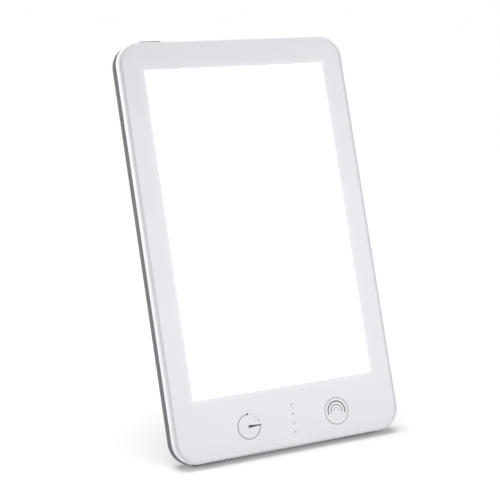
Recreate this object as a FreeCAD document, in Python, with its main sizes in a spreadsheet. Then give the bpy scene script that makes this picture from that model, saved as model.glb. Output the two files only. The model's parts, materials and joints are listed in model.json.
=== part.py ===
import FreeCAD, Part
import math
import os
import re
import Sketcher
from FreeCAD import Placement, Rotation, Vector

# Light therapy lamp: a slim lit panel that leans back on a fold-out leg.
#
# Every piece of the lamp is drawn in the lamp's own upright frame: X across the face,
# Y into the depth from the front plane, Z up the face from its bottom edge.
# The finished pieces are then leaned back together, so that the feet and the leg's
# sole stand on Z = 0. The leg is drawn in a frame of its own, at its hinge.

document = FreeCAD.newDocument("LightTherapyLamp")
sizes = document.addObject("Spreadsheet::Sheet", "Sizes")

# Driving sizes, in millimetres and degrees

SIZES = [
    ("face_width", 169.4, "width of the face"),
    ("face_height", 277.0, "height of the face"),
    ("corner_radius", 15.5, "corner of the outline"),
    ("rim_radius", 1.8, "rounding of the front rim"),
    ("lean_angle", 18.9, "how far the lamp leans back"),
    ("side_border", 17.6, "face beside the lit pane"),
    ("top_border", 19.3, "face above the lit pane"),
    ("bottom_border", 40.5, "face below the lit pane"),
    ("bezel_depth", 4.7, "depth of the bezel's side"),
    ("bezel_wall", 1.6, "bezel's front wall"),
    ("bezel_skirt", 1.8, "bezel's side wall"),
    ("seam_gap", 0.6, "shadow gap between bezel and rear cover"),
    ("cover_wall", 2.2, "rear cover's wall"),
    ("cover_edge_radius", 6.2, "rounding of the rear cover's edge"),
    ("lip_reach", 1.6, "how far the cover's lip reaches into the bezel"),
    ("lip_root", 2.0, "length of lip that is rooted in the cover"),
    ("lip_thickness", 1.4, "thickness of the lip"),
    ("fit_gap", 0.15, "clearance between moulded pieces"),
    ("pane_gap", 0.1, "clearance round the lit pane"),
    ("pane_flange", 1.2, "thickness of the pane's flange"),
    ("pane_border", 5.0, "flange behind the bezel, all round"),
    ("film_thickness", 0.25, "brightness film"),
    ("guide_thickness", 3.0, "light guide"),
    ("guide_border", 3.5, "light guide beyond the lit pane"),
    ("reflector_thickness", 0.25, "white reflector sheet"),
    ("plate_thickness", 0.8, "aluminium back plate"),
    ("led_gap", 0.3, "air between light guide and LEDs"),
    ("led_height", 1.0, "LED package, off its strip"),
    ("led_length", 3.5, "LED package, along its strip"),
    ("led_breadth", 2.4, "LED package, across its strip"),
    ("led_count", 24, "LED packages on each strip"),
    ("strip_thickness", 1.0, "metal-core LED strip"),
    ("tab_reach", 7.2, "back plate's screw tab, past its flange"),
    ("tab_width", 9.0, "back plate's screw tab"),
    ("tab_hole", 4.4, "tab's screw, past the flange"),
    ("tab_end", 16.0, "end tabs, from the lit pane's ends"),
    ("tab_notch", 1.0, "relief beside each tab"),
    ("rib_thickness", 1.0, "bezel's rib round the pane"),
    ("sheet_inset", 0.5, "films and guide, inside the flange's edge"),
    ("strip_inset", 1.5, "LED strips, inside the plate's ends"),
    ("led_end", 6.0, "strip left bare at its ends"),
    ("foam_size", 12.0, "anti-rattle foam block"),
    ("foam_place", 62.0, "foam block, from the middle"),
    ("foam_end", 26.0, "foam blocks, from the plate's ends"),
    ("plate_air", 0.4, "air between back plate and stand recess"),
    ("recess_wall", 1.6, "wall round the stand recess"),
    ("barrel_radius", 2.9, "leg's hinge barrel"),
    ("barrel_gap", 0.3, "air between barrel and its pocket"),
    ("leg_inner", 1.3, "leg's face in front of the hinge axis"),
    ("leg_outer", 3.3, "leg's face behind the hinge axis"),
    ("leg_sink", 0.4, "how far the folded leg lies below the back"),
    ("leg_width", 53.6, "leg's width at the hinge"),
    ("leg_tip_width", 44.0, "leg's width at the foot"),
    ("leg_tip_radius", 8.0, "leg's rounded corners"),
    ("leg_skin", 1.8, "leg's outer wall"),
    ("leg_rim", 2.0, "leg's edge wall"),
    ("leg_rim_top", 2.5, "leg's edge wall beside the hinge"),
    ("leg_neck", 5.0, "solid leg below the barrel"),
    ("leg_toe", 7.0, "solid leg above the sole"),
    ("leg_blank", 12.0, "leg's blank, before its profile is cut"),
    ("leg_edge_radius", 0.8, "rounding of the leg's outer edges"),
    ("leg_rib", 1.4, "leg's ribs"),
    ("long_rib_place", 9.0, "long ribs, from the leg's middle"),
    ("long_rib_drop", 0.4, "long ribs, below the leg's rim"),
    ("cross_rib_count", 4, "leg's cross ribs"),
    ("cross_rib_drop", 0.9, "cross ribs, below the leg's rim"),
    ("leg_side_gap", 0.6, "air beside the folded leg"),
    ("leg_end_gap", 0.6, "air below the folded leg"),
    ("hinge_drop", 93.0, "hinge axis below the top edge"),
    ("stand_open_angle", 26.5, "leg's angle from folded to open"),
    ("stop_gap", 0.05, "heel's clearance at its stop"),
    ("swing_gap", 0.4, "clearance round the swinging heel"),
    ("pin_radius", 1.0, "hinge pin"),
    ("pin_hole_gap", 0.1, "clearance where the pin only passes through"),
    ("press_gap", 0.01, "clearance that stands for a press fit"),
    ("pin_reach", 5.5, "hinge pin inside the barrel"),
    ("running_gap", 0.05, "radial clearance of a running fit"),
    ("bush_radius", 1.75, "hinge bush, outside"),
    ("bush_length", 6.0, "hinge bush"),
    ("washer_radius", 2.7, "friction washer"),
    ("washer_thickness", 0.5, "friction washer"),
    ("bracket_leaf", 1.0, "hinge bracket's sheet"),
    ("bracket_height", 14.0, "hinge bracket, up the lamp"),
    ("bracket_width", 11.0, "hinge bracket's foot, across the lamp"),
    ("bracket_screw_side", 6.5, "bracket's screws, beyond its leaf"),
    ("bracket_screw_rise", 4.0, "bracket's screws, above and below the hinge axis"),
    ("stand_pad", 1.6, "rubber sole of the leg"),
    ("foot_proud", 0.5, "base foot, below the casing"),
    ("foot_sink", 1.2, "base foot, inside its groove"),
    ("foot_length", 30.0, "base foot, across the lamp"),
    ("foot_width", 5.0, "base foot, front to back"),
    ("foot_corner", 2.0, "base foot's rounded ends"),
    ("foot_place", 55.0, "base foot's middle, from the lamp's middle"),
    ("corner_screw_side", 10.7, "corner screw, from the side"),
    ("corner_screw_end", 9.0, "corner screw, from the top or bottom"),
    ("middle_screw_end", 8.0, "middle screw, from the top"),
    ("bezel_boss_radius", 3.2, "bezel's screw boss"),
    ("bezel_boss_depth", 7.5, "where bezel and cover bosses meet"),
    ("cover_boss_radius", 4.3, "cover's screw boss"),
    ("cover_head_radius", 2.5, "cover screw's head"),
    ("cover_head_height", 1.8, "cover screw's head"),
    ("counterbore_depth", 3.5, "cover screw's well"),
    ("cover_shank_radius", 1.25, "cover screw's shank"),
    ("cover_shank_length", 9.0, "cover screw's shank"),
    ("small_head_radius", 2.0, "small screw's head"),
    ("small_head_height", 1.2, "small screw's head"),
    ("small_shank_radius", 0.9, "small screw's shank"),
    ("small_shank_length", 3.6, "small screw's shank"),
    ("small_boss_radius", 2.2, "small screw's boss"),
    ("small_pilot_depth", 3.2, "small screw's pilot hole"),
    ("boss_floor", 0.8, "left of a large boss under its pilot hole"),
    ("small_boss_floor", 0.2, "left of a small boss under its pilot hole"),
    ("well_gap", 0.4, "clearance round a cover screw's head"),
    ("screw_pass_gap", 0.2, "clearance of a hole that a screw passes through"),
    ("boss_root", 0.5, "how deep a boss is rooted in its wall"),
    ("thread_gap", 0.05, "clearance that stands for a thread"),
    ("board_width", 132.0, "control board"),
    ("board_height", 27.5, "control board"),
    ("board_low", 5.5, "control board's lower edge"),
    ("board_depth", 5.0, "control board's front face"),
    ("board_thickness", 1.2, "control board"),
    ("board_screw_side", 60.0, "board screw, from the middle"),
    ("board_screw_low", 9.0, "lower board screws"),
    ("board_screw_high", 29.5, "upper board screws"),
    ("control_height", 18.2, "middle of the touch controls"),
    ("timer_place", 30.3, "timer control, left of the middle"),
    ("brightness_place", 35.95, "brightness control, right of the middle"),
    ("touch_pad_radius", 8.0, "conductive foam under a control"),
    ("indicator_place", 2.7, "row of indicator lights, right of the middle"),
    ("indicator_low", 9.4, "lowest indicator light"),
    ("indicator_pitch", 6.07, "between indicator lights"),
    ("indicator_count", 4, "indicator lights"),
    ("indicator_radius", 0.48, "indicator light"),
    ("inlet_place", 50.0, "power inlet, right of the middle"),
    ("inlet_height", 19.0, "power inlet, up the lamp"),
    ("inlet_body", 9.4, "power inlet's square body"),
    ("inlet_collar_radius", 4.6, "power inlet's round collar"),
    ("inlet_mouth_radius", 3.15, "power inlet's mouth"),
    ("inlet_mouth_depth", 2.4, "power inlet's mouth"),
    ("inlet_bore_radius", 2.95, "power inlet's inner bore"),
    ("inlet_bore_depth", 8.6, "power inlet, mouth to floor"),
    ("inlet_contact_radius", 1.0, "power inlet's centre contact"),
    ("inlet_sink", 0.3, "power inlet below the back"),
    ("contact_sink", 0.3, "centre contact below the mouth's step"),
    ("keyhole_place", 45.0, "keyholes, from the middle"),
    ("keyhole_drop", 37.0, "keyholes, below the top edge"),
    ("keyhole_radius", 4.0, "keyhole's round entry"),
    ("keyhole_slot", 4.2, "keyhole's slot"),
    ("keyhole_rise", 7.0, "keyhole's slot, above the entry"),
    ("keyhole_room", 3.6, "room for the screw's head"),
    ("keyhole_margin", 0.6, "room beside the screw's head"),
    ("keyhole_wall", 1.4, "wall of the keyhole's chamber"),
    ("notch_radius", 9.0, "thumb notch at the folded leg's end"),
    ("notch_depth", 3.0, "thumb notch"),
    ("notch_wall", 2.0, "wall behind and beside the thumb notch"),
    ("cover_rib", 1.0, "cover's stiffening ribs"),
    ("cover_rib_rise", 2.0, "cover's stiffening ribs, off its inner face"),
    ("cover_rib_count", 3, "cover's stiffening ribs"),
    ("cover_rib_low", 85.0, "lowest stiffening rib"),
    ("cover_rib_pitch", 30.0, "between stiffening ribs"),
    ("pocket_below", 2.0, "barrel's pocket, below the barrel"),
    ("inlet_dish_radius", 7.0, "dished ring round the power inlet"),
    ("inlet_dish_depth", 0.6, "dished ring round the power inlet"),
    ("button_place", 57.0, "power button, left of the middle"),
    ("button_depth", 9.0, "power button's middle"),
    ("button_length", 17.0, "power button, across the lamp"),
    ("button_breadth", 5.5, "power button, front to back"),
    ("button_proud", 2.0, "power button, above the casing"),
    ("button_crown", 0.7, "rounding of the button's top"),
    ("button_gap", 0.2, "clearance round the button"),
    ("button_travel", 0.5, "power button's stroke"),
    ("button_flange", 1.2, "button's retaining flange"),
    ("button_flange_rim", 1.0, "flange beyond the button, all round"),
    ("button_corner", 2.4, "button's rounded ends"),
    ("button_stem", 1.8, "stem between the flange and the switch"),
    ("stem_radius", 1.3, "button's stem"),
    ("bay_drop", 4.0, "room for the button's flange, below the cover's top wall"),
    ("bay_side", 3.0, "cut in the cover's lip, beside the button"),
    ("plunger_proud", 2.0, "plunger above the switch housing"),
    ("plunger_gap", 0.1, "clearance round the plunger"),
    ("plunger_room", 0.7, "room below the plunger"),
    ("plunger_radius", 1.5, "switch plunger"),
    ("plunger_length", 4.0, "switch plunger"),
    ("switch_width", 6.0, "switch housing"),
    ("switch_height", 5.0, "switch housing"),
    ("switch_depth", 3.5, "switch housing"),
    ("switch_board_width", 26.0, "switch board"),
    ("switch_board_height", 16.0, "switch board"),
    ("switch_board_thickness", 1.2, "switch board"),
    ("switch_board_below", 9.5, "switch board, below the switch"),
    ("switch_board_offset", 1.0, "switch board's middle, beside the button's"),
    ("switch_screw_side", 9.5, "switch board's screws, from its middle"),
    ("switch_screw_low", 3.5, "outer screw, above the board's lower edge"),
    ("switch_screw_high", 12.5, "inner screw, above the board's lower edge"),
    ("lead_radius", 0.5, "leads inside the lamp"),
    ("connector_length", 6.0, "lead connector, across the lamp"),
    ("connector_height", 5.0, "lead connector, up the lamp"),
    ("connector_depth", 3.4, "lead connector"),
    ("connector_place", 46.0, "light's connectors, from the middle"),
    ("connector_middle", 29.0, "connectors' middle, up the lamp"),
    ("right_connector_place", 38.0, "right light's connector, right of the middle"),
    ("switch_connector_place", 38.0, "switch's connector, left of the middle"),
    ("switch_plug_height", 4.0, "switch board's connector, up the lamp"),
    ("switch_plug_depth", 2.4, "switch board's connector"),
    ("switch_plug_side", 3.0, "switch board's connector, beside the board's middle"),
    ("switch_plug_low", 2.5, "switch board's connector, above the board's lower edge"),
    ("controller_size", 7.0, "controller chip, each way"),
    ("controller_depth", 1.4, "controller chip"),
    ("controller_place", 8.0, "controller chip, left of the middle"),
    ("controller_rise", 2.0, "controller chip, above the controls' middle"),
    ("driver_length", 5.0, "LED driver chip, across the lamp"),
    ("driver_height", 4.0, "LED driver chip, up the lamp"),
    ("driver_depth", 1.5, "LED driver chip"),
    ("driver_place", 14.0, "LED driver chips, right of the middle"),
    ("driver_rise", 5.0, "LED driver chips, above and below the controls' middle"),
    ("inductor_size", 7.3, "inductor, each way"),
    ("inductor_corner", 1.2, "inductor's rounded corners"),
    ("inductor_depth", 4.0, "inductor"),
    ("inductor_place", 45.0, "inductor, left of the middle"),
    ("inductor_drop", 3.0, "inductor, below the controls' middle"),
    ("can_radius", 3.15, "capacitor can"),
    ("can_height", 5.8, "capacitor can"),
    ("left_can_place", 54.5, "left can, from the middle"),
    ("left_can_rise", 1.0, "left can, above the controls' middle"),
    ("right_can_place", 39.5, "right can, from the middle"),
    ("right_can_drop", 6.0, "right can, below the controls' middle"),
    ("pipe_bar_width", 3.0, "bar that carries the light pipes"),
    ("pipe_bar_depth", 1.2, "bar that carries the light pipes"),
    ("pipe_bar_end", 2.0, "bar beyond the outer light pipes"),
    ("pipe_stub_radius", 0.8, "light pipe behind its bar"),
    ("indicator_led_width", 1.6, "indicator's LED, across the lamp"),
    ("indicator_led_height", 0.8, "indicator's LED, up the lamp"),
    ("indicator_led_depth", 0.5, "indicator's LED"),
]

for row, (word, value, meaning) in enumerate(SIZES, start=1):
    sizes.set(f"A{row}", meaning)
    sizes.set(f"B{row}", str(value))
    sizes.setAlias(f"B{row}", word)
document.recompute()

# Lengths that follow from the driving sizes

WORKED = {
    "lit_width": "face_width - 2 * side_border",
    "lit_height": "face_height - top_border - bottom_border",
    "lit_middle": "bottom_border + lit_height / 2",
    "film_front": "bezel_wall + pane_flange",
    "guide_front": "film_front + film_thickness",
    "reflector_front": "guide_front + guide_thickness",
    "plate_front": "reflector_front + reflector_thickness",
    "plate_back": "plate_front + plate_thickness",
    "guide_half": "lit_width / 2 + guide_border",
    "strip_inner": "guide_half + led_gap + led_height",
    "plate_half": "strip_inner + strip_thickness + plate_thickness",
    "plate_height": "lit_height + 2 * pane_border",
    "plate_low": "bottom_border - pane_border",
    "pocket_floor": "plate_back + plate_air + recess_wall",
    "hinge_depth": "pocket_floor + barrel_gap + barrel_radius",
    "body_depth": "hinge_depth + leg_outer + leg_sink",
    "back_inside": "body_depth - cover_wall",
    "cover_front": "bezel_depth + seam_gap",
    "hinge_height": "face_height - hinge_drop",
    "prop_angle": "stand_open_angle - lean_angle",
    "edge_middle": "body_depth - cover_edge_radius",
    "lift": "edge_middle * sin(lean_angle) + cover_edge_radius * (1 - cos(lean_angle)) + foot_proud",
    "foremost": "rim_radius * (cos(lean_angle) + sin(lean_angle) - 1)",
    "rearmost": "edge_middle * cos(lean_angle) + (face_height - cover_edge_radius) * sin(lean_angle)"
    " + cover_edge_radius",
    "shift": "-(foremost + rearmost) / 2",
    "hinge_back": "hinge_depth * cos(lean_angle) + hinge_height * sin(lean_angle)",
    "hinge_rise": "hinge_height * cos(lean_angle) - hinge_depth * sin(lean_angle) + lift",
    "leg_reach": "(hinge_rise + leg_outer * sin(prop_angle)) / cos(prop_angle)",
    "heel": "(barrel_radius + barrel_gap - stop_gap - leg_inner * cos(stand_open_angle))"
    " / sin(stand_open_angle)",
    "heel_swing": "sqrt(heel * heel + leg_outer * leg_outer)",
    "recess_half": "leg_width / 2 + leg_side_gap",
    "recess_floor": "hinge_depth - leg_inner - swing_gap",
    "recess_top": "hinge_height + heel_swing + swing_gap",
    "recess_low": "hinge_height - leg_reach - leg_end_gap",
    "recess_outer": "recess_half + recess_wall",
    "pocket_low": "hinge_height - barrel_radius - pocket_below",
    "foot_back": "(edge_middle + cover_edge_radius * sin(lean_angle)) * cos(lean_angle)"
    " + cover_edge_radius * (1 - cos(lean_angle)) * sin(lean_angle)",
    "counterbore_floor": "body_depth - counterbore_depth",
    "board_back": "board_depth + board_thickness",
    "inlet_front": "board_back",
    "inlet_face": "body_depth - inlet_sink",
    "keyhole_height": "face_height - keyhole_drop",
    "keyhole_floor": "back_inside - keyhole_room",
    "button_under": "face_height - cover_wall",
    "flange_low": "button_under - button_gap - button_flange",
    "switch_board_front": "button_depth + switch_depth / 2",
    "plunger_top": "flange_low - button_stem",
    "switch_top": "plunger_top - plunger_proud",
    "switch_low": "switch_top - switch_height",
    "switch_board_back": "switch_board_front + switch_board_thickness",
    "switch_board_low": "switch_low - switch_board_below",
    "switch_board_middle": "-(button_place - switch_board_offset)",
    "corner_screw_x": "face_width / 2 - corner_screw_side",
    "lip_outer": "bezel_skirt + fit_gap",
    "lip_inner": "lip_outer + lip_thickness",
    "lip_front": "bezel_depth - lip_reach",
    "bracket_front": "pocket_floor",
    "bracket_outer": "recess_outer + bracket_leaf",
}


ALIASES = {word for word, value, meaning in SIZES}


def text(words):
    """Rewrite a length in the sheet's words as an expression that the document can work out."""

    def one(match):
        word = match.group(0)
        if word in WORKED:
            return "(" + text(WORKED[word]) + ")"
        if word in ALIASES:
            return "Sizes." + word
        return word

    return re.sub(r"[a-z_]+", one, str(words))


def number(words):
    """The value of a length written in the sheet's words."""
    return float(sizes.evalExpression(text(words)))


def bind(piece, prop, words):
    piece.setExpression(prop, text(words))


def seat(piece, point):
    """Bind a piece's place to three lengths."""
    for axis, words in zip("xyz", point):
        bind(piece, f"Placement.Base.{axis}", words)


# Building blocks: blocks, rods, plates with rounded corners, and drawn outlines. A piece that
# only cuts runs 1 mm past each face that it opens.

TURNS = {
    "+X": Rotation(Vector(0, 1, 0), 90),
    "-X": Rotation(Vector(0, 1, 0), -90),
    "+Y": Rotation(Vector(1, 0, 0), -90),
    "-Y": Rotation(Vector(1, 0, 0), 90),
    "+Z": Rotation(),
}


def block(name, low, size):
    piece = document.addObject("Part::Box", name)
    for prop, words in zip(("Length", "Width", "Height"), size):
        bind(piece, prop, words)
    seat(piece, low)
    return piece


def rod(name, radius, length, start, along):
    """A cylinder from its start, along one axis."""
    piece = document.addObject("Part::Cylinder", name)
    bind(piece, "Radius", radius)
    bind(piece, "Height", length)
    piece.Placement = Placement(Vector(), TURNS[along])
    seat(piece, start)
    return piece


def fused(name, pieces):
    piece = document.addObject("Part::MultiFuse", name)
    piece.Shapes = pieces
    return piece


def grouped(name, pieces):
    """Separate solids that share one node."""
    piece = document.addObject("Part::Compound", name)
    piece.Links = pieces
    return piece


def cut(name, base, tools):
    piece = document.addObject("Part::Cut", name)
    piece.Base = base
    piece.Tool = tools[0] if len(tools) == 1 else fused(name + "_tools", tools)
    return piece


def common(name, first, second):
    piece = document.addObject("Part::Common", name)
    piece.Base = first
    piece.Tool = second
    return piece


def sketch_in(body, name, role):
    """An empty sketch on one of the body's own origin planes."""
    sketch = body.newObject("Sketcher::SketchObject", name)
    plane = [feature for feature in body.Origin.OriginFeatures if feature.Role == role][0]
    sketch.AttachmentSupport = [(plane, "")]
    sketch.MapMode = "FlatFace"
    return sketch


def hold(sketch, kind, words, *where):
    """Add a dimension to a sketch and bind it to a length."""
    index = sketch.addConstraint(Sketcher.Constraint(kind, *where, number(words)))
    sketch.setExpression(f"Constraints[{index}]", text(words))


def draw_rounded(sketch, width, height, radius):
    """A rectangle with rounded corners, centred on the sketch's origin."""
    half_wide = number(width) / 2
    half_high = number(height) / 2
    round_by = number(radius)
    x, y = half_wide - round_by, half_high - round_by
    middles = [(x, y), (-x, y), (-x, -y), (x, -y)]
    for turn, (middle_x, middle_y) in enumerate(middles):
        circle = Part.Circle(Vector(middle_x, middle_y, 0), Vector(0, 0, 1), round_by)
        start = turn * math.pi / 2
        sketch.addGeometry(Part.ArcOfCircle(circle, start, start + math.pi / 2), False)
    for arc in range(4):
        following = (arc + 1) % 4
        first = sketch.Geometry[arc].EndPoint
        second = sketch.Geometry[following].StartPoint
        sketch.addGeometry(Part.LineSegment(first, second), False)
    for arc in range(4):
        line = 4 + arc
        sketch.addConstraint(Sketcher.Constraint("Tangent", arc, 2, line, 1))
        sketch.addConstraint(Sketcher.Constraint("Tangent", line, 2, (arc + 1) % 4, 1))
    for line, kind in ((4, "Horizontal"), (5, "Vertical"), (6, "Horizontal"), (7, "Vertical")):
        sketch.addConstraint(Sketcher.Constraint(kind, line))
    for arc in (1, 2, 3):
        sketch.addConstraint(Sketcher.Constraint("Equal", 0, arc))
    sketch.addConstraint(Sketcher.Constraint("Symmetric", 0, 3, 2, 3, -1, 1))
    hold(sketch, "Radius", radius, 0)
    hold(sketch, "DistanceX", f"{width} - 2 * ({radius})", 1, 3, 0, 3)
    hold(sketch, "DistanceY", f"{height} - 2 * ({radius})", 3, 3, 0, 3)


def draw_outline(sketch, points):
    """A closed outline of straight lines, each corner held by two lengths."""
    corners = [Vector(number(x), number(y), 0) for x, y in points]
    last = len(corners) - 1
    for index, corner in enumerate(corners):
        following = corners[0] if index == last else corners[index + 1]
        sketch.addGeometry(Part.LineSegment(corner, following), False)
    for index, (x, y) in enumerate(points):
        following = 0 if index == last else index + 1
        sketch.addConstraint(Sketcher.Constraint("Coincident", index, 2, following, 1))
        hold(sketch, "DistanceX", x, -1, 1, index, 1)
        hold(sketch, "DistanceY", y, -1, 1, index, 1)


def edges_where(feature, test):
    """The names of a feature's edges whose every sampled point passes the test."""
    names = []
    for index, edge in enumerate(feature.Shape.Edges, start=1):
        first, last = edge.FirstParameter, edge.LastParameter
        if all(test(edge.valueAt(spot)) for spot in (first, (first + last) / 2, last)):
            names.append(f"Edge{index}")
    return names


def round_edges(body, feature, radius, test):
    """Round the edges of a body's feature that pass the test."""
    document.recompute()
    fillet = body.newObject("PartDesign::Fillet", body.Name + "_rounding")
    fillet.Base = (feature, edges_where(feature, test))
    bind(fillet, "Radius", radius)
    return fillet


def rounded_plate(name, width, height, radius, middle, front, thickness):
    """A plate parallel to the face, with rounded corners, from its front depth backwards."""
    body = document.addObject("PartDesign::Body", name)
    sketch = sketch_in(body, name + "_outline", "XZ_Plane")
    bind(sketch, "AttachmentOffset.Base.x", middle[0])
    bind(sketch, "AttachmentOffset.Base.y", middle[1])
    bind(sketch, "AttachmentOffset.Base.z", f"-({front})")
    draw_rounded(sketch, width, height, radius)
    pad = body.newObject("PartDesign::Pad", name + "_pad")
    pad.Profile = sketch
    pad.Reversed = True
    bind(pad, "Length", thickness)
    return body


def slab(name, width, height, middle, front, thickness):
    """A plain rectangular plate parallel to the face."""
    low = (f"{middle[0]} - ({width}) / 2", front, f"{middle[1]} - ({height}) / 2")
    return block(name, low, (width, thickness, height))


def upright_plate(name, length, breadth, radius, middle, low, height):
    """A rounded plate seen from above, raised from its low end."""
    body = document.addObject("PartDesign::Body", name)
    sketch = sketch_in(body, name + "_outline", "XY_Plane")
    bind(sketch, "AttachmentOffset.Base.x", middle[0])
    bind(sketch, "AttachmentOffset.Base.y", middle[1])
    bind(sketch, "AttachmentOffset.Base.z", low)
    draw_rounded(sketch, length, breadth, radius)
    pad = body.newObject("PartDesign::Pad", name + "_pad")
    pad.Profile = sketch
    bind(pad, "Length", height)
    return body


def screw(name, kind, place, seat_depth, towards):
    """A pan-head screw: its head rests at the seat, and its shank runs towards +Y or -Y."""
    behind = "-Y" if towards == "+Y" else "+Y"
    start = (place[0], seat_depth, place[1])
    head = rod(name + "_head", f"{kind}_head_radius", f"{kind}_head_height", start, behind)
    shank = rod(name + "_shank", f"{kind}_shank_radius", f"{kind}_shank_length", start, towards)
    return fused(name, [head, shank])


SIDES = {"left": "-", "right": ""}

# Finished pieces and how they stand

finished = {}


def stand_in_lamp(name, piece):
    """Finish a piece of the leaned-back lamp. A lone block or rod keeps its own place inside."""
    if piece.TypeId in ("Part::Box", "Part::Cylinder"):
        piece = grouped(name.title().replace("_", ""), [piece])
    piece.Placement = Placement(Vector(), Rotation(Vector(1, 0, 0), -number("lean_angle")))
    bind(piece, "Placement.Rotation.Angle", "-lean_angle")
    seat(piece, ("0", "shift", "lift"))
    finish(name, piece)


def stand_on_leg(name, piece):
    """Finish a piece of the leg, which is drawn about the hinge axis."""
    piece.Placement = Placement(Vector(), Rotation(Vector(1, 0, 0), number("prop_angle")))
    bind(piece, "Placement.Rotation.Angle", "prop_angle")
    seat(piece, ("0", "shift + hinge_back", "hinge_rise"))
    finish(name, piece)


def finish(name, piece):
    piece.Label = name
    finished[name] = piece


# Places that several pieces share, each as lengths across and up the lamp

COVER_SCREWS = {
    "low_left": ("-corner_screw_x", "corner_screw_end"),
    "low_right": ("corner_screw_x", "corner_screw_end"),
    "high_left": ("-corner_screw_x", "face_height - corner_screw_end"),
    "high_right": ("corner_screw_x", "face_height - corner_screw_end"),
    "high_middle": ("0", "face_height - middle_screw_end"),
}
TAB_HEIGHTS = (
    "bottom_border + tab_end",
    "lit_middle",
    "face_height - top_border - tab_end",
)
PANEL_SCREWS = {
    f"{side}_{level}": (f"{sign}(plate_half + tab_hole)", height)
    for side, sign in SIDES.items()
    for level, height in enumerate(TAB_HEIGHTS)
}
BOARD_SCREWS = {
    f"{side}_{level}": (f"{sign}board_screw_side", f"board_screw_{level}")
    for side, sign in SIDES.items()
    for level in ("low", "high")
}
BRACKET_SCREWS = {
    f"{side}_{level}": (
        f"{sign}(bracket_outer + bracket_screw_side)",
        f"hinge_height {step} bracket_screw_rise",
    )
    for side, sign in SIDES.items()
    for level, step in (("low", "-"), ("high", "+"))
}
SWITCH_SCREWS = {
    "outer": ("switch_board_middle - switch_screw_side", "switch_board_low + switch_screw_low"),
    "inner": ("switch_board_middle + switch_screw_side", "switch_board_low + switch_screw_high"),
}
INDICATORS = {
    level: f"indicator_low + {level} * indicator_pitch"
    for level in range(int(number("indicator_count")))
}
FACE_MIDDLE = ("0", "face_height / 2")
LIT_MIDDLE = ("0", "lit_middle")


# Front bezel: a moulded frame with a rounded rim, screw bosses and a rib round the pane


def make_front_bezel():
    form = rounded_plate(
        "BezelForm", "face_width", "face_height", "corner_radius", FACE_MIDDLE, "0", "bezel_depth"
    )
    form.Tip = round_edges(form, form.Tip, "rim_radius", lambda spot: abs(spot.y) < 0.001)
    hollow = rounded_plate(
        "BezelHollow",
        "face_width - 2 * bezel_skirt",
        "face_height - 2 * bezel_skirt",
        "corner_radius - bezel_skirt",
        FACE_MIDDLE,
        "bezel_wall",
        "bezel_depth",
    )
    window = slab("BezelWindow", "lit_width", "lit_height", LIT_MIDDLE, "-1", "bezel_wall + 2")
    shell = cut("BezelShell", form, [hollow, window])

    flange_width = "lit_width + 2 * (pane_border + fit_gap)"
    flange_height = "lit_height + 2 * (pane_border + fit_gap)"
    rib_start = "bezel_wall - boss_root"
    rib_length = "pane_flange + boss_root"
    rib_outside = slab(
        "RibOutside",
        f"{flange_width} + 2 * rib_thickness",
        f"{flange_height} + 2 * rib_thickness",
        LIT_MIDDLE,
        rib_start,
        rib_length,
    )
    rib_inside = slab(
        "RibInside", flange_width, flange_height, LIT_MIDDLE, "0", "bezel_wall + pane_flange + 1"
    )
    rib = cut("PaneRib", rib_outside, [rib_inside])

    bosses = []
    pilots = []
    for name, (x, z) in COVER_SCREWS.items():
        start = (x, rib_start, z)
        reach = "bezel_boss_depth - bezel_wall + boss_root"
        bosses.append(rod(f"BezelBoss_{name}", "bezel_boss_radius", reach, start, "+Y"))
        radius = "cover_shank_radius + thread_gap"
        mouth = (x, "bezel_boss_depth + 1", z)
        length = "bezel_boss_depth + 1 - bezel_wall - boss_floor"
        pilots.append(rod(f"BezelPilot_{name}", radius, length, mouth, "-Y"))
    for kind, places, front in (
        ("Panel", PANEL_SCREWS, "plate_front"),
        ("Board", BOARD_SCREWS, "board_depth"),
    ):
        for name, (x, z) in places.items():
            reach = f"{front} - bezel_wall + boss_root"
            start = (x, rib_start, z)
            bosses.append(rod(f"{kind}Boss_{name}", "small_boss_radius", reach, start, "+Y"))
            mouth = (x, f"{front} + 1", z)
            radius = "small_shank_radius + thread_gap"
            length = f"{front} + 1 - bezel_wall - small_boss_floor"
            pilots.append(rod(f"{kind}Pilot_{name}", radius, length, mouth, "-Y"))
    for count, z in INDICATORS.items():
        start = ("indicator_place", "-1", z)
        radius = "indicator_radius + thread_gap"
        pilots.append(rod(f"IndicatorHole_{count}", radius, "bezel_wall + 2", start, "+Y"))
    carried = fused("BezelCarried", [shell, rib] + bosses)
    stand_in_lamp("front_bezel", cut("Bezel", carried, pilots))


# Lit panel: pane, film, light guide, reflector, LED strips and the plate that holds them


def make_lit_panel():
    flange = slab(
        "PaneFlange",
        "lit_width + 2 * pane_border",
        "plate_height",
        LIT_MIDDLE,
        "bezel_wall",
        "pane_flange",
    )
    raised = slab(
        "PaneRaised",
        "lit_width - 2 * pane_gap",
        "lit_height - 2 * pane_gap",
        LIT_MIDDLE,
        "0",
        "bezel_wall + boss_root",
    )
    stand_in_lamp("diffuser_panel", fused("Pane", [flange, raised]))
    sheet_height = "plate_height - 2 * sheet_inset"
    film = slab(
        "Film",
        "lit_width + 2 * (pane_border - sheet_inset)",
        sheet_height,
        LIT_MIDDLE,
        "film_front",
        "film_thickness",
    )
    stand_in_lamp("diffuser_film", film)
    guide = slab(
        "Guide", "2 * guide_half", sheet_height, LIT_MIDDLE, "guide_front", "guide_thickness"
    )
    stand_in_lamp("light_guide", guide)
    reflector = slab(
        "Reflector",
        "2 * (guide_half + led_gap)",
        sheet_height,
        LIT_MIDDLE,
        "reflector_front",
        "reflector_thickness",
    )
    stand_in_lamp("reflector_sheet", reflector)
    for side, sign in SIDES.items():
        make_led_strip(side, sign)
    make_back_plate()
    make_foam_blocks()


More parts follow.
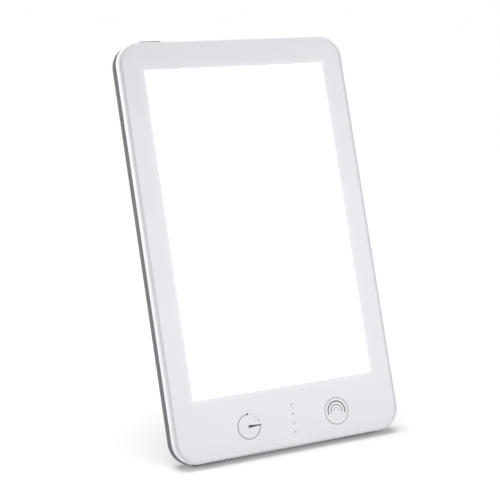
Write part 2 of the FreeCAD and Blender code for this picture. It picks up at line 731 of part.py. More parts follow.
def make_led_strip(side, sign):
    """A metal-core strip on the plate's flange, with its row of LEDs facing the guide's edge."""
    strip = slab(
        f"Strip_{side}",
        "strip_thickness",
        "plate_height - 2 * strip_inset",
        (f"{sign}(strip_inner + strip_thickness / 2)", "lit_middle"),
        "guide_front",
        "plate_front - guide_front",
    )
    stand_in_lamp(f"led_strip_{side}", strip)
    lights = []
    count = int(number("led_count"))
    pitch = "((plate_height - 2 * led_end) / led_count)"
    for index in range(count):
        middle = (
            f"{sign}(strip_inner - led_height / 2)",
            f"plate_low + led_end + {index + 0.5} * {pitch}",
        )
        front = "guide_front + (guide_thickness - led_breadth) / 2"
        lights.append(
            slab(f"Led_{side}_{index}", "led_height", "led_length", middle, front, "led_breadth")
        )
    stand_in_lamp(f"leds_{side}", grouped(f"Leds_{side}", lights))


def make_back_plate():
    """A sheet folded forward along both sides, with screw tabs left flat in notches."""
    sheet = slab(
        "PlateSheet", "2 * plate_half", "plate_height", LIT_MIDDLE, "plate_front", "plate_thickness"
    )
    solids = [sheet]
    holes = []
    for side, sign in SIDES.items():
        flange = slab(
            f"PlateFlange_{side}",
            "plate_thickness",
            "plate_height",
            (f"{sign}(plate_half - plate_thickness / 2)", "lit_middle"),
            "guide_front",
            "plate_back - guide_front",
        )
        notches = [
            slab(
                f"PlateNotch_{side}_{level}",
                "3 * plate_thickness",
                "tab_width + 2 * tab_notch",
                (f"{sign}(plate_half - plate_thickness / 2)", height),
                "guide_front - 1",
                "plate_front - guide_front + 1",
            )
            for level, height in enumerate(TAB_HEIGHTS)
        ]
        solids.append(cut(f"PlateFold_{side}", flange, notches))
        for level, height in enumerate(TAB_HEIGHTS):
            tab_middle = (f"{sign}(plate_half + (tab_reach - 1) / 2)", height)
            solids.append(
                slab(
                    f"PlateTab_{side}_{level}",
                    "tab_reach + 1",
                    "tab_width",
                    tab_middle,
                    "plate_front",
                    "plate_thickness",
                )
            )
    for name, (x, z) in PANEL_SCREWS.items():
        start = (x, "plate_front - 1", z)
        radius = "small_shank_radius + screw_pass_gap"
        holes.append(rod(f"PlateHole_{name}", radius, "plate_thickness + 2", start, "+Y"))
    stand_in_lamp("back_plate", cut("Plate", fused("PlateWhole", solids), holes))
    screws = [
        screw(f"PanelScrew_{name}", "small", place, "plate_back", "-Y")
        for name, place in PANEL_SCREWS.items()
    ]
    stand_in_lamp("panel_screws", grouped("PanelScrews", screws))


def make_foam_blocks():
    """Four soft blocks that stop the panel from rattling against the rear cover."""
    blocks = [
        slab(
            f"Foam_{side}_{level}",
            "foam_size",
            "foam_size",
            (f"{sign}foam_place", f"lit_middle {step} (plate_height / 2 - foam_end)"),
            "plate_back",
            "back_inside - plate_back",
        )
        for side, sign in SIDES.items()
        for level, step in (("low", "-"), ("high", "+"))
    ]
    stand_in_lamp("foam_blocks", grouped("FoamBlocks", blocks))


# Controls: board, touch pads, indicator lights, power inlet and what drives the LEDs


def on_board(name, length, height, middle, depth):
    """A component on the board's back."""
    return slab(name, length, height, middle, "board_back", depth)


def make_control_board():
    middle = ("0", "board_low + board_height / 2")
    sheet = slab("BoardSheet", "board_width", "board_height", middle, "board_depth", "board_thickness")
    holes = [
        rod(
            f"BoardHole_{name}",
            "small_shank_radius + screw_pass_gap",
            "board_thickness + 2",
            (x, "board_depth - 1", z),
            "+Y",
        )
        for name, (x, z) in BOARD_SCREWS.items()
    ]
    stand_in_lamp("control_board", cut("Board", sheet, holes))
    screws = [
        screw(f"BoardScrew_{name}", "small", place, "board_back", "-Y")
        for name, place in BOARD_SCREWS.items()
    ]
    stand_in_lamp("control_board_screws", grouped("BoardScrews", screws))
    chip_middle = ("-controller_place", "control_height + controller_rise")
    chip = on_board(
        "Controller", "controller_size", "controller_size", chip_middle, "controller_depth"
    )
    stand_in_lamp("controller_chip", chip)
    drivers = [
        on_board(
            f"Driver_{level}",
            "driver_length",
            "driver_height",
            ("driver_place", f"control_height {step} driver_rise"),
            "driver_depth",
        )
        for level, step in (("low", "-"), ("high", "+"))
    ]
    stand_in_lamp("led_driver_chips", grouped("Drivers", drivers))
    inductor = rounded_plate(
        "Inductor",
        "inductor_size",
        "inductor_size",
        "inductor_corner",
        ("-inductor_place", "control_height - inductor_drop"),
        "board_back",
        "inductor_depth",
    )
    stand_in_lamp("driver_inductor", inductor)
    can_starts = {
        "left": ("-left_can_place", "board_back", "control_height + left_can_rise"),
        "right": ("right_can_place", "board_back", "control_height - right_can_drop"),
    }
    cans = [
        rod(f"Can_{side}", "can_radius", "can_height", start, "+Y")
        for side, start in can_starts.items()
    ]
    stand_in_lamp("filter_capacitors", grouped("Cans", cans))
    places = {
        "left": "-connector_place",
        "switch": "-switch_connector_place",
        "right": "right_connector_place",
    }
    connectors = [
        on_board(
            f"Connector_{name}",
            "connector_length",
            "connector_height",
            (x, "connector_middle"),
            "connector_depth",
        )
        for name, x in places.items()
    ]
    stand_in_lamp("lead_connectors", grouped("Connectors", connectors))


def make_touch_pads():
    """Conductive foam between the board and the bezel's wall, one under each control."""
    for name, x in (("timer", "-timer_place"), ("brightness", "brightness_place")):
        start = (x, "bezel_wall", "control_height")
        pad = rod(f"Pad_{name}", "touch_pad_radius", "board_depth - bezel_wall", start, "+Y")
        stand_in_lamp(f"touch_pad_{name}", pad)


def make_indicators():
    """Four light pipes on one bar, glued behind the wall, each with an LED behind it."""
    bar_back = "(bezel_wall + pipe_bar_depth)"
    low = ("indicator_place - pipe_bar_width / 2", "bezel_wall", "indicator_low - pipe_bar_end")
    length = "(indicator_count - 1) * indicator_pitch + 2 * pipe_bar_end"
    solids = [block("PipeBar", low, ("pipe_bar_width", "pipe_bar_depth", length))]
    led_front = "board_depth - indicator_led_depth"
    lights = []
    for count, z in INDICATORS.items():
        pin = ("indicator_place", "0", z)
        solids.append(rod(f"Pipe_{count}", "indicator_radius", bar_back, pin, "+Y"))
        stub = ("indicator_place", f"{bar_back} - fit_gap", z)
        length = f"{led_front} - {bar_back}"
        solids.append(rod(f"PipeStub_{count}", "pipe_stub_radius", length, stub, "+Y"))
        lights.append(
            slab(
                f"Indicator_{count}",
                "indicator_led_width",
                "indicator_led_height",
                ("indicator_place", z),
                led_front,
                "indicator_led_depth",
            )
        )
    stand_in_lamp("indicator_light_pipes", fused("Pipes", solids))
    stand_in_lamp("indicator_leds", grouped("Indicators", lights))


def make_power_inlet():
    """A round socket with a stepped bore, and the contact that stands in it."""
    middle = ("inlet_place", "inlet_height")
    base = on_board("InletBody", "inlet_body", "inlet_body", middle, "back_inside - fit_gap - board_back")
    collar = rod(
        "InletCollar",
        "inlet_collar_radius",
        "inlet_face - board_back",
        ("inlet_place", "board_back", "inlet_height"),
        "+Y",
    )
    mouth = rod(
        "InletMouth",
        "inlet_mouth_radius",
        "inlet_mouth_depth + 1",
        ("inlet_place", "inlet_face + 1", "inlet_height"),
        "-Y",
    )
    bore = rod(
        "InletBore",
        "inlet_bore_radius",
        "inlet_bore_depth + 1",
        ("inlet_place", "inlet_face + 1", "inlet_height"),
        "-Y",
    )
    stand_in_lamp("power_inlet", cut("Inlet", fused("InletSolid", [base, collar]), [mouth, bore]))
    contact = rod(
        "Contact",
        "inlet_contact_radius",
        "inlet_bore_depth - inlet_mouth_depth - contact_sink",
        ("inlet_place", "inlet_face - inlet_bore_depth", "inlet_height"),
        "+Y",
    )
    stand_in_lamp("power_inlet_contact", contact)


# Power button: a crowned cap on a stem, over a side-pressed switch on a board of its own


def make_power_button():
    middle = ("-button_place", "button_depth")
    cap = upright_plate(
        "Cap",
        "button_length",
        "button_breadth",
        "button_corner",
        middle,
        "flange_low",
        "face_height + button_proud - (flange_low)",
    )
    top = number("face_height + button_proud")
    cap.Tip = round_edges(cap, cap.Tip, "button_crown", lambda spot: abs(spot.z - top) < 0.001)
    flange = upright_plate(
        "CapFlange",
        "button_length + 2 * button_flange_rim",
        "button_breadth + 2 * button_flange_rim",
        "button_corner + button_flange_rim",
        middle,
        "flange_low",
        "button_flange",
    )
    stem_start = ("-button_place", "button_depth", "plunger_top")
    stem = rod("CapStem", "stem_radius", "button_stem + boss_root", stem_start, "+Z")
    stand_in_lamp("power_button_cap", fused("CapWhole", [cap, flange, stem]))
    start = ("-button_place", "button_depth", "plunger_top - plunger_length")
    plunger = rod("Plunger", "plunger_radius", "plunger_length", start, "+Z")
    stand_in_lamp("switch_plunger", plunger)

    housing = block(
        "SwitchBody",
        ("-button_place - switch_width / 2", "switch_board_front - switch_depth", "switch_low"),
        ("switch_width", "switch_depth", "switch_height"),
    )
    bore_depth = "plunger_length - plunger_proud + plunger_room"
    bore_start = ("-button_place", "button_depth", f"switch_top - ({bore_depth})")
    bore = rod("SwitchBore", "plunger_radius + plunger_gap", f"{bore_depth} + 1", bore_start, "+Z")
    stand_in_lamp("switch_housing", cut("Switch", housing, [bore]))

    sheet = slab(
        "SwitchBoardSheet",
        "switch_board_width",
        "switch_board_height",
        ("switch_board_middle", "switch_board_low + switch_board_height / 2"),
        "switch_board_front",
        "switch_board_thickness",
    )
    holes = [
        rod(
            f"SwitchBoardHole_{name}",
            "small_shank_radius + screw_pass_gap",
            "switch_board_thickness + 2",
            (x, "switch_board_front - 1", z),
            "+Y",
        )
        for name, (x, z) in SWITCH_SCREWS.items()
    ]
    stand_in_lamp("switch_board", cut("SwitchBoard", sheet, holes))
    screws = [
        screw(f"SwitchScrew_{name}", "small", place, "switch_board_front", "+Y")
        for name, place in SWITCH_SCREWS.items()
    ]
    stand_in_lamp("switch_board_screws", grouped("SwitchScrews", screws))
    connector = slab(
        "SwitchConnector",
        "connector_length",
        "switch_plug_height",
        ("switch_board_middle + switch_plug_side", "switch_board_low + switch_plug_low"),
        "switch_board_front - switch_plug_depth",
        "switch_plug_depth",
    )
    stand_in_lamp("switch_connector", connector)


# Rear cover: a shell with a lip, the leg's recess, wells, keyholes and bosses


def make_rear_cover():
    form = rounded_plate(
        "CoverForm",
        "face_width",
        "face_height",
        "corner_radius",
        FACE_MIDDLE,
        "cover_front",
        "body_depth - cover_front",
    )
    back = number("body_depth")
    form.Tip = round_edges(
        form, form.Tip, "cover_edge_radius", lambda spot: abs(spot.y - back) < 0.001
    )
    room = rounded_plate(
        "CoverRoom",
        "face_width - 2 * cover_wall",
        "face_height - 2 * cover_wall",
        "corner_radius - cover_wall",
        FACE_MIDDLE,
        "cover_front - 1",
        "back_inside - cover_front + 1",
    )
    inside = number("back_inside")
    room.Tip = round_edges(
        room,
        room.Tip,
        "cover_edge_radius - cover_wall",
        lambda spot: abs(spot.y - inside) < 0.001,
    )
    hollow = cut("CoverHollow", room, cover_walls_and_bosses())
    shell = cut("CoverShell", form, [hollow])
    lip = cut(
        "CoverLip",
        lip_plate("LipOutside", "lip_outer", "lip_front", "lip_reach + seam_gap + lip_root"),
        [lip_plate("LipInside", "lip_inner", "lip_front - 1", "lip_reach + seam_gap + lip_root + 2")],
    )
    whole = fused("CoverWhole", [shell, lip])
    stand_in_lamp("rear_cover", cut("Cover", whole, cover_openings()))


def lip_plate(name, inset, front, thickness):
    return rounded_plate(
        name,
        f"face_width - 2 * {inset}",
        f"face_height - 2 * {inset}",
        f"corner_radius - {inset}",
        FACE_MIDDLE,
        front,
        thickness,
    )


def from_depth(name, half_width, low, high, front):
    """A block centred across the lamp that runs from a depth to beyond the back."""
    return block(
        name,
        (f"-({half_width})", front, low),
        (f"2 * ({half_width})", f"body_depth + 1 - ({front})", f"({high}) - ({low})"),
    )


def cover_walls_and_bosses():
    """What stays solid inside the cover: the recess's walls, the chambers and the bosses."""
    kept = [
        from_depth(
            "RecessTub",
            "recess_outer",
            "recess_low - recess_wall",
            "recess_top + recess_wall",
            "recess_floor - recess_wall",
        ),
        from_depth(
            "PocketTub",
            "recess_outer",
            "pocket_low - recess_wall",
            "recess_top + recess_wall",
            "pocket_floor - recess_wall",
        ),
        from_depth(
            "NotchBacking",
            "notch_radius + notch_wall",
            "cover_wall - boss_root",
            "recess_low",
            "body_depth - notch_depth - notch_wall",
        ),
    ]
    for level in range(int(number("cover_rib_count"))):
        kept.append(
            from_depth(
                f"CoverRib_{level}",
                "face_width / 2",
                f"cover_rib_low + {level} * cover_rib_pitch",
                f"cover_rib_low + {level} * cover_rib_pitch + cover_rib",
                "back_inside - cover_rib_rise",
            )
        )
    for name, (x, z) in COVER_SCREWS.items():
        start = (x, "bezel_boss_depth", z)
        reach = "body_depth - bezel_boss_depth"
        kept.append(rod(f"CoverBoss_{name}", "cover_boss_radius", reach, start, "+Y"))
    for name, (x, z) in BRACKET_SCREWS.items():
        front = "bracket_front + bracket_leaf"
        kept.append(small_boss(f"BracketBoss_{name}", x, z, front))
    for name, (x, z) in SWITCH_SCREWS.items():
        kept.append(small_boss(f"SwitchBoss_{name}", x, z, "switch_board_back"))
    for side, sign in SIDES.items():
        half = "keyhole_radius + keyhole_margin + keyhole_wall"
        kept.append(
            block(
                f"Chamber_{side}",
                (
                    f"{sign}keyhole_place - ({half})",
                    "keyhole_floor - keyhole_wall",
                    f"keyhole_height - ({half})",
                ),
                (f"2 * ({half})", "keyhole_room + keyhole_wall + 1", f"2 * ({half}) + keyhole_rise"),
            )
        )
    return kept


def small_boss(name, x, z, front):
    return rod(name, "small_boss_radius", f"body_depth - ({front})", (x, front, z), "+Y")


def cover_openings():
    """What is cut through or into the cover."""
    flange_half = "button_length / 2 + button_flange_rim"
    flange_back = "button_depth + button_breadth / 2 + button_flange_rim"
    openings = [
        from_depth("Recess", "recess_half", "recess_low", "recess_top", "recess_floor"),
        from_depth("Pocket", "recess_half", "pocket_low", "recess_top", "pocket_floor"),
        rod(
            "PinHole",
            "pin_radius + pin_hole_gap",
            "2 * (recess_outer + 1)",
            ("-(recess_outer + 1)", "hinge_depth", "hinge_height"),
            "+X",
        ),
        rod(
            "ThumbNotch",
            "notch_radius",
            "notch_depth + 1",
            ("0", "body_depth - notch_depth", "recess_low"),
            "+Y",
        ),
        rod(
            "InletHole",
            "inlet_collar_radius + fit_gap",
            "cover_wall + 2",
            ("inlet_place", "back_inside - 1", "inlet_height"),
            "+Y",
        ),
        rod(
            "InletDish",
            "inlet_dish_radius",
            "inlet_dish_depth + 1",
            ("inlet_place", "body_depth - inlet_dish_depth", "inlet_height"),
            "+Y",
        ),
        upright_plate(
            "ButtonSlot",
            "button_length + 2 * button_gap",
            "button_breadth + 2 * button_gap",
            "button_corner + button_gap",
            ("-button_place", "button_depth"),
            "button_under - 1",
            "cover_wall + 2",
        ),
        block(
            "LipNotch",
            ("-button_place - button_length / 2 - bay_side", "lip_front - 1", "button_under - bay_drop"),
            (
                "button_length + 2 * bay_side",
                "lip_reach + seam_gap + lip_root + 1 + fit_gap",
                "bay_drop + cover_wall - (lip_outer) + stop_gap",
            ),
        ),
        block(
            "FlangeBay",
            (
                f"-button_place - ({flange_half} + button_gap)",
                "cover_front - 1",
                "button_under - bay_drop",
            ),
            (
                f"2 * ({flange_half} + button_gap)",
                f"{flange_back} + button_gap - (cover_front) + 1",
                "bay_drop",
            ),
        ),
    ]
    for name, (x, z) in COVER_SCREWS.items():
        well = (x, "counterbore_floor", z)
        radius = "cover_head_radius + well_gap"
        openings.append(rod(f"Well_{name}", radius, "counterbore_depth + 1", well, "+Y"))
        hole = (x, "bezel_boss_depth - 1", z)
        radius = "cover_shank_radius + screw_pass_gap"
        openings.append(rod(f"WellHole_{name}", radius, "body_depth", hole, "+Y"))
    for kind, places, front in (
        ("Bracket", BRACKET_SCREWS, "bracket_front + bracket_leaf"),
        ("Switch", SWITCH_SCREWS, "switch_board_back"),
    ):
        for name, (x, z) in places.items():
            radius = "small_shank_radius + thread_gap"
            start = (x, front, z)
            openings.append(rod(f"{kind}Pilot_{name}", radius, "small_pilot_depth", start, "+Y"))
    for side, sign in SIDES.items():
        openings += keyhole_openings(side, f"{sign}keyhole_place")
        openings.append(foot_groove(side, sign))
    return openings


def keyhole_openings(side, x):
    """A round entry with a slot above it, and the room behind for the screw's head."""
    half = "keyhole_radius + keyhole_margin"
    room = block(
        f"KeyholeRoom_{side}",
        (f"{x} - ({half})", "keyhole_floor", f"keyhole_height - ({half})"),
        (f"2 * ({half})", "keyhole_room", f"2 * ({half}) + keyhole_rise"),
    )
    entry_start = (x, "keyhole_floor", "keyhole_height")
    length = "keyhole_room + cover_wall + 1"
    entry = rod(f"KeyholeEntry_{side}", "keyhole_radius", length, entry_start, "+Y")
    slot = block(
        f"KeyholeSlot_{side}",
        (f"{x} - keyhole_slot / 2", "keyhole_floor", "keyhole_height"),
        ("keyhole_slot", length, "keyhole_rise"),
    )
    end_start = (x, "keyhole_floor", "keyhole_height + keyhole_rise")
    end = rod(f"KeyholeEnd_{side}", "keyhole_slot / 2", length, end_start, "+Y")
    return [room, entry, slot, end]


# Base feet: two rubber strips in grooves along the lowest line of the rear cover

FOOT_HEIGHT = "foot_proud + foot_sink"


def foot_groove(side, sign):
    """The foot's groove, level with the table, in the lamp's own frame."""
    groove = upright_plate(
        f"Groove_{side}",
        "foot_length + 2 * fit_gap",
        "foot_width + 2 * fit_gap",
        "foot_corner",
        (f"{sign}foot_place", "0"),
        "0",
        FOOT_HEIGHT,
    )
    groove.Placement = Placement(Vector(), Rotation(Vector(1, 0, 0), number("lean_angle")))
    bind(groove, "Placement.Rotation.Angle", "lean_angle")
    back = "foot_back * cos(lean_angle) + lift * sin(lean_angle)"
    up = "foot_back * sin(lean_angle) - lift * cos(lean_angle)"
    seat(groove, ("0", back, up))
    return groove


def make_base_feet():
    feet = [
        upright_plate(
            f"Foot_{side}",
            "foot_length",
            "foot_width",
            "foot_corner",
            (f"{sign}foot_place", "shift + foot_back"),
            "0",
            FOOT_HEIGHT,
        )
        for side, sign in SIDES.items()
    ]
    finish("base_feet", grouped("Feet", feet))


def make_cover_screws():
    screws = [
        screw(f"CoverScrew_{name}", "cover", place, "counterbore_floor", "-Y")
        for name, place in COVER_SCREWS.items()
    ]
    stand_in_lamp("cover_screws", grouped("CoverScrews", screws))


# Hinge: brackets screwed inside the cover hold two pins that reach into the leg's barrel


def make_hinge():
    brackets = []
    pins = []
    washers = []
    for side, sign in SIDES.items():
        along = "-X" if sign else "+X"
        leaf = slab(
            f"BracketLeaf_{side}",
            "bracket_leaf",
            "bracket_height",
            (f"{sign}(recess_outer + bracket_leaf / 2)", "hinge_height"),
            "bracket_front",
            "back_inside - stop_gap - bracket_front",
        )
        foot = slab(
            f"BracketFoot_{side}",
            "bracket_width",
            "bracket_height",
            (f"{sign}(recess_outer + bracket_width / 2)", "hinge_height"),
            "bracket_front",
            "bracket_leaf",
        )
        holes = [
            rod(
                f"BracketHole_{side}_{name}",
                "small_shank_radius + screw_pass_gap",
                "bracket_leaf + 2",
                (x, "bracket_front - 1", z),
                "+Y",
            )
            for name, (x, z) in BRACKET_SCREWS.items()
            if name.startswith(side)
        ]
        inner = f"{sign}(recess_outer - 1)"
        axis = (inner, "hinge_depth", "hinge_height")
        holes.append(
            rod(f"BracketBore_{side}", "pin_radius + press_gap", "bracket_leaf + 2", axis, along)
        )
        brackets.append(cut(f"Bracket_{side}", fused(f"BracketSolid_{side}", [leaf, foot]), holes))
        pin_start = (f"{sign}(leg_width / 2 - pin_reach)", "hinge_depth", "hinge_height")
        pin_length = "bracket_outer - leg_width / 2 + pin_reach"
        pins.append(rod(f"Pin_{side}", "pin_radius", pin_length, pin_start, along))
        washer_start = (f"{sign}(leg_width / 2 + running_gap)", "hinge_depth", "hinge_height")
        ring = rod(f"Ring_{side}", "washer_radius", "washer_thickness", washer_start, along)
        eye = rod(
            f"Eye_{side}",
            "pin_radius + running_gap",
            "washer_thickness + 2",
            (f"{sign}(leg_width / 2 - 1)", "hinge_depth", "hinge_height"),
            along,
        )
        washers.append(cut(f"Washer_{side}", ring, [eye]))
    stand_in_lamp("hinge_brackets", grouped("Brackets", brackets))
    stand_in_lamp("hinge_pins", grouped("Pins", pins))
    stand_in_lamp("friction_washers", grouped("Washers", washers))
    screws = [
        screw(f"BracketScrew_{name}", "small", place, "bracket_front", "+Y")
        for name, place in BRACKET_SCREWS.items()
    ]
    stand_in_lamp("hinge_bracket_screws", grouped("BracketScrews", screws))


# Leg: a tapered plate with a barrel, a heel that stops it, and ribs on its inner side


def leg_outline(name, points, width):
    """A profile across the leg's thickness, drawn out to both sides."""
    body = document.addObject("PartDesign::Body", name)
    sketch = sketch_in(body, name + "_outline", "YZ_Plane")
    draw_outline(sketch, points)
    pad = body.newObject("PartDesign::Pad", name + "_pad")
    pad.Profile = sketch
    pad.Midplane = True
    bind(pad, "Length", width)
    return body


def leg_plan(name, top, bottom, top_half, bottom_half, back, thickness):
    """A tapered outline seen from behind the leg, thick towards its front."""
    body = document.addObject("PartDesign::Body", name)
    sketch = sketch_in(body, name + "_outline", "XZ_Plane")
    bind(sketch, "AttachmentOffset.Base.z", f"-({back})")
    corners = [
        (top_half, top),
        (f"-({top_half})", top),
        (f"-({bottom_half})", bottom),
        (bottom_half, bottom),
    ]
    draw_outline(sketch, corners)
    pad = body.newObject("PartDesign::Pad", name + "_pad")
    pad.Profile = sketch
    bind(pad, "Length", thickness)
    return body


def level_at(depth, above):
    """The leg's height, in its own frame, where a level plane above the table meets a depth."""
    return f"-(hinge_rise - ({above}) + ({depth}) * sin(prop_angle)) / cos(prop_angle)"


def make_leg():
    tip = "-(leg_reach + 1)"
    plan = leg_plan(
        "LegPlan", "heel", tip, "leg_width / 2", "leg_tip_width / 2", "leg_outer", "leg_blank"
    )
    low = number(tip)
    tip_half = number("leg_tip_width / 2")
    plan.Tip = round_edges(
        plan,
        plan.Tip,
        "leg_tip_radius",
        lambda spot: abs(spot.z - low) < 0.001 and abs(abs(spot.x) - tip_half) < 0.001,
    )
    outer = number("leg_outer")
    plan.Tip = round_edges(
        plan, plan.Tip, "leg_edge_radius", lambda spot: abs(spot.y - outer) < 0.001
    )
    side = leg_outline(
        "LegSide",
        [
            ("-leg_inner", "heel"),
            ("leg_outer", "heel"),
            ("leg_outer", level_at("leg_outer", "stand_pad")),
            ("-leg_inner", level_at("-leg_inner", "stand_pad")),
        ],
        "leg_width + 2",
    )
    plate = common("LegPlate", side, plan)
    barrel = rod("LegBarrel", "barrel_radius", "leg_width", ("-leg_width / 2", "0", "0"), "+X")
    bores = [
        rod(
            f"LegBore_{name}",
            "bush_radius + press_gap",
            "bush_length + 1",
            (f"{sign}(leg_width / 2 + 1)", "0", "0"),
            "+X" if sign else "-X",
        )
        for name, sign in SIDES.items()
    ]
    hollow_top = "-(barrel_radius + leg_neck)"
    hollow_low = "-(leg_reach - stand_pad - leg_toe)"
    hollow = leg_plan(
        "LegHollow",
        hollow_top,
        hollow_low,
        "leg_width / 2 - leg_rim_top",
        "leg_tip_width / 2 - leg_rim",
        "leg_outer - leg_skin",
        "leg_inner + leg_outer - leg_skin + 1",
    )
    rib_low = "-leg_reach"
    ribs = [
        block(
            f"LongRib_{name}",
            (f"{sign}long_rib_place - leg_rib / 2", "-leg_inner + long_rib_drop", rib_low),
            ("leg_rib", "leg_inner + leg_outer", "leg_reach"),
        )
        for name, sign in SIDES.items()
    ]
    bays = int(number("cross_rib_count")) + 1
    for index in range(1, bays):
        height = f"{hollow_top} + {index / bays} * (({hollow_low}) - ({hollow_top}))"
        ribs.append(
            block(
                f"CrossRib_{index}",
                ("-leg_width / 2", "-leg_inner + cross_rib_drop", height),
                ("leg_width", "leg_inner + leg_outer", "leg_rib"),
            )
        )
    carved = cut("LegCarve", hollow, ribs)
    leg = cut("Leg", fused("LegSolid", [plate, barrel]), [carved] + bores)
    stand_on_leg("stand_leg", leg)

    sole = leg_outline(
        "SoleSide",
        [
            ("-leg_inner", level_at("-leg_inner", "stand_pad")),
            ("leg_outer", level_at("leg_outer", "stand_pad")),
            ("leg_outer", level_at("leg_outer", "0")),
            ("-leg_inner", level_at("-leg_inner", "0")),
        ],
        "leg_width + 2",
    )
    stand_on_leg("stand_foot_pad", common("Sole", sole, plan))

    bushes = []
    for name, sign in SIDES.items():
        along = "+X" if sign else "-X"
        tube = rod(f"Bush_{name}", "bush_radius", "bush_length", (f"{sign}leg_width / 2", "0", "0"), along)
        eye = rod(
            f"BushEye_{name}",
            "pin_radius + running_gap",
            "bush_length + 2",
            (f"{sign}(leg_width / 2 + 1)", "0", "0"),
            along,
        )
        bushes.append(cut(f"BushRing_{name}", tube, [eye]))
    stand_on_leg("hinge_bushes", grouped("Bushes", bushes))


# Leads: their routes are chosen by hand, in the lamp's own frame. Each arc takes this share
# of the shorter run beside it.

ARC_SHARE = 0.45


def lead(name, points):
    """A round lead along straight runs that are joined by tangent arcs."""
    spots = [Vector(*(number(words) for words in point)) for point in points]
    edges = []
    start = spots[0]
    radii = []
    for before, corner, after in zip(spots, spots[1:], spots[2:]):
        back = (before - corner).normalize()
        ahead = (after - corner).normalize()
        turn = math.pi - back.getAngle(ahead)
        shorter = min((before - corner).Length, (after - corner).Length)
        trim = ARC_SHARE * shorter
        radius = trim / math.tan(turn / 2)
        radii.append(round(radius, 1))
        arc_start = corner + back * trim
        arc_end = corner + ahead * trim
        toward = (back + ahead).normalize()
        middle = corner + toward * (radius / math.cos(turn / 2) - radius)
        edges.append(Part.LineSegment(start, arc_start).toShape())
        edges.append(Part.Arc(arc_start, middle, arc_end).toShape())
        start = arc_end
    edges.append(Part.LineSegment(start, spots[-1]).toShape())
    path = Part.Wire(edges)
    circle = Part.Circle(spots[0], spots[1] - spots[0], number("lead_radius"))
    tube = path.makePipeShell([Part.Wire(circle.toShape())], True, False)
    expected = math.pi * number("lead_radius") ** 2 * path.Length
    print(f"{name}: {path.Length:.1f} mm long, bends of {min(radii)} mm or more,")
    print(f"  volume {tube.Volume:.2f} of {expected:.2f} mm3")
    piece = document.addObject("Part::Feature", name.title().replace("_", ""))
    piece.Shape = tube
    stand_in_lamp(name, piece)


def make_leads():
    connector_side = "connector_length / 2"
    strip_end = "plate_low + strip_inset"
    strip_x = "strip_inner + strip_thickness / 2"
    strip_depth = "(guide_front + plate_front) / 2"
    for side, sign, start in (("left", "-", "connector_place"), ("right", "", "right_connector_place")):
        lead(
            f"led_lead_{side}",
            [
                (f"{sign}({start} + {connector_side})", "board_back + 2.2", "connector_middle + 0.5"),
                (f"{sign}58", "board_back + 2.2", "connector_middle + 1.5"),
                (f"{sign}67", "board_back + 1.4", "connector_middle + 1.2"),
                (f"{sign}({strip_x})", f"{strip_depth} + 0.2", "connector_middle + 2.6"),
                (f"{sign}({strip_x})", strip_depth, strip_end),
            ],
        )
    connector_top = "connector_middle + connector_height / 2"
    lead(
        "switch_lead",
        [
            ("-switch_connector_place", "board_back + 2.2", connector_top),
            ("-switch_connector_place - 1", "plate_back + 1.4", "54"),
            ("-46", "plate_back + 1.5", "92"),
            ("-50", "plate_back + 1.5", "140"),
            ("-49.5", "plate_back + 1.5", "185"),
            ("-53.5", "plate_back + 1.7", "225"),
            ("switch_board_middle + switch_plug_side", "plate_back + 2.2", "switch_board_low + 0.5"),
        ],
    )


make_front_bezel()
make_lit_panel()
make_control_board()
make_touch_pads()
make_indicators()
make_power_inlet()
make_power_button()
make_rear_cover()
make_base_feet()
make_cover_screws()
make_hinge()
make_leg()
make_leads()
document.recompute()

# Every object is tested before anything is written

for item in document.Objects:
    if "Invalid" in item.State or "Error" in item.State:
        raise RuntimeError(f"{item.Name} could not be worked out")
for name, piece in finished.items():
    if piece.Shape.isNull() or not piece.Shape.isValid():
        raise RuntimeError(f"{name} is not a sound shape")
    print(f"{name}: {len(piece.Shape.Solids)} solids, {piece.Shape.Volume:.1f} mm3")

os.makedirs("parts", exist_ok=True)
for name, piece in finished.items():
    piece.Shape.exportStep(f"parts/{name}.step")
print(f"{len(finished)} sub-parts written")
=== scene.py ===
# %% [markdown]
# # A light therapy lamp
# The lamp is a thin, edge-lit panel in a white frame, leaning back on a fold-out leg. Its shape
# comes packed, as a fixed frame of solid pieces. What is left to make is everything that the
# eye reads: how each surface takes light, the fine marks printed on the touch field, the
# drives of the screws and the ribs of the rubber. Blender's lengths are metres, and a length
# that is easier to read in millimetres is multiplied by MM.

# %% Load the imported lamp
import json
import math
from functools import partial

import bmesh
import bpy
import numpy as np
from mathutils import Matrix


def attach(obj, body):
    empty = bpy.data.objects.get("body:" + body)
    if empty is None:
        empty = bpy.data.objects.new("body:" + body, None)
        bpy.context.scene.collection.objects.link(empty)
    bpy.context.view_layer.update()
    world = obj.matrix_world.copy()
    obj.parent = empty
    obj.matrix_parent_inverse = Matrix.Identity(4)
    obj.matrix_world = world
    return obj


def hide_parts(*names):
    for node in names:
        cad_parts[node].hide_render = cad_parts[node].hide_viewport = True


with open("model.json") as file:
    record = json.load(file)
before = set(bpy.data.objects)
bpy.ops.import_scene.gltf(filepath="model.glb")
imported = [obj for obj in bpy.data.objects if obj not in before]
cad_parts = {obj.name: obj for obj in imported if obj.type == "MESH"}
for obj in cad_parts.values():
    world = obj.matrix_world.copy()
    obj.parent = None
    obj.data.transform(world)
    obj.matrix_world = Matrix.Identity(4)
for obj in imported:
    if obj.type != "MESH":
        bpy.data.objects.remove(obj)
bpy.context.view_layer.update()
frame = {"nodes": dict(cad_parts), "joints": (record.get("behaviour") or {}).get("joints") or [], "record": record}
MM = 0.001
print("pieces in the frame:", len(frame["nodes"]))

# %% [markdown]
# The lamp leans, so a mark on its face can't be placed by the room's axes. A face frame of
# three directions does it: across, up the face, and into the lamp. The power button slides
# down the face, so its recorded direction gives the lean, and the front frame's own vertices
# say where the face and its lower edge lie. Measuring beats copying numbers, because it stays
# right when the lamp is built again at another lean.

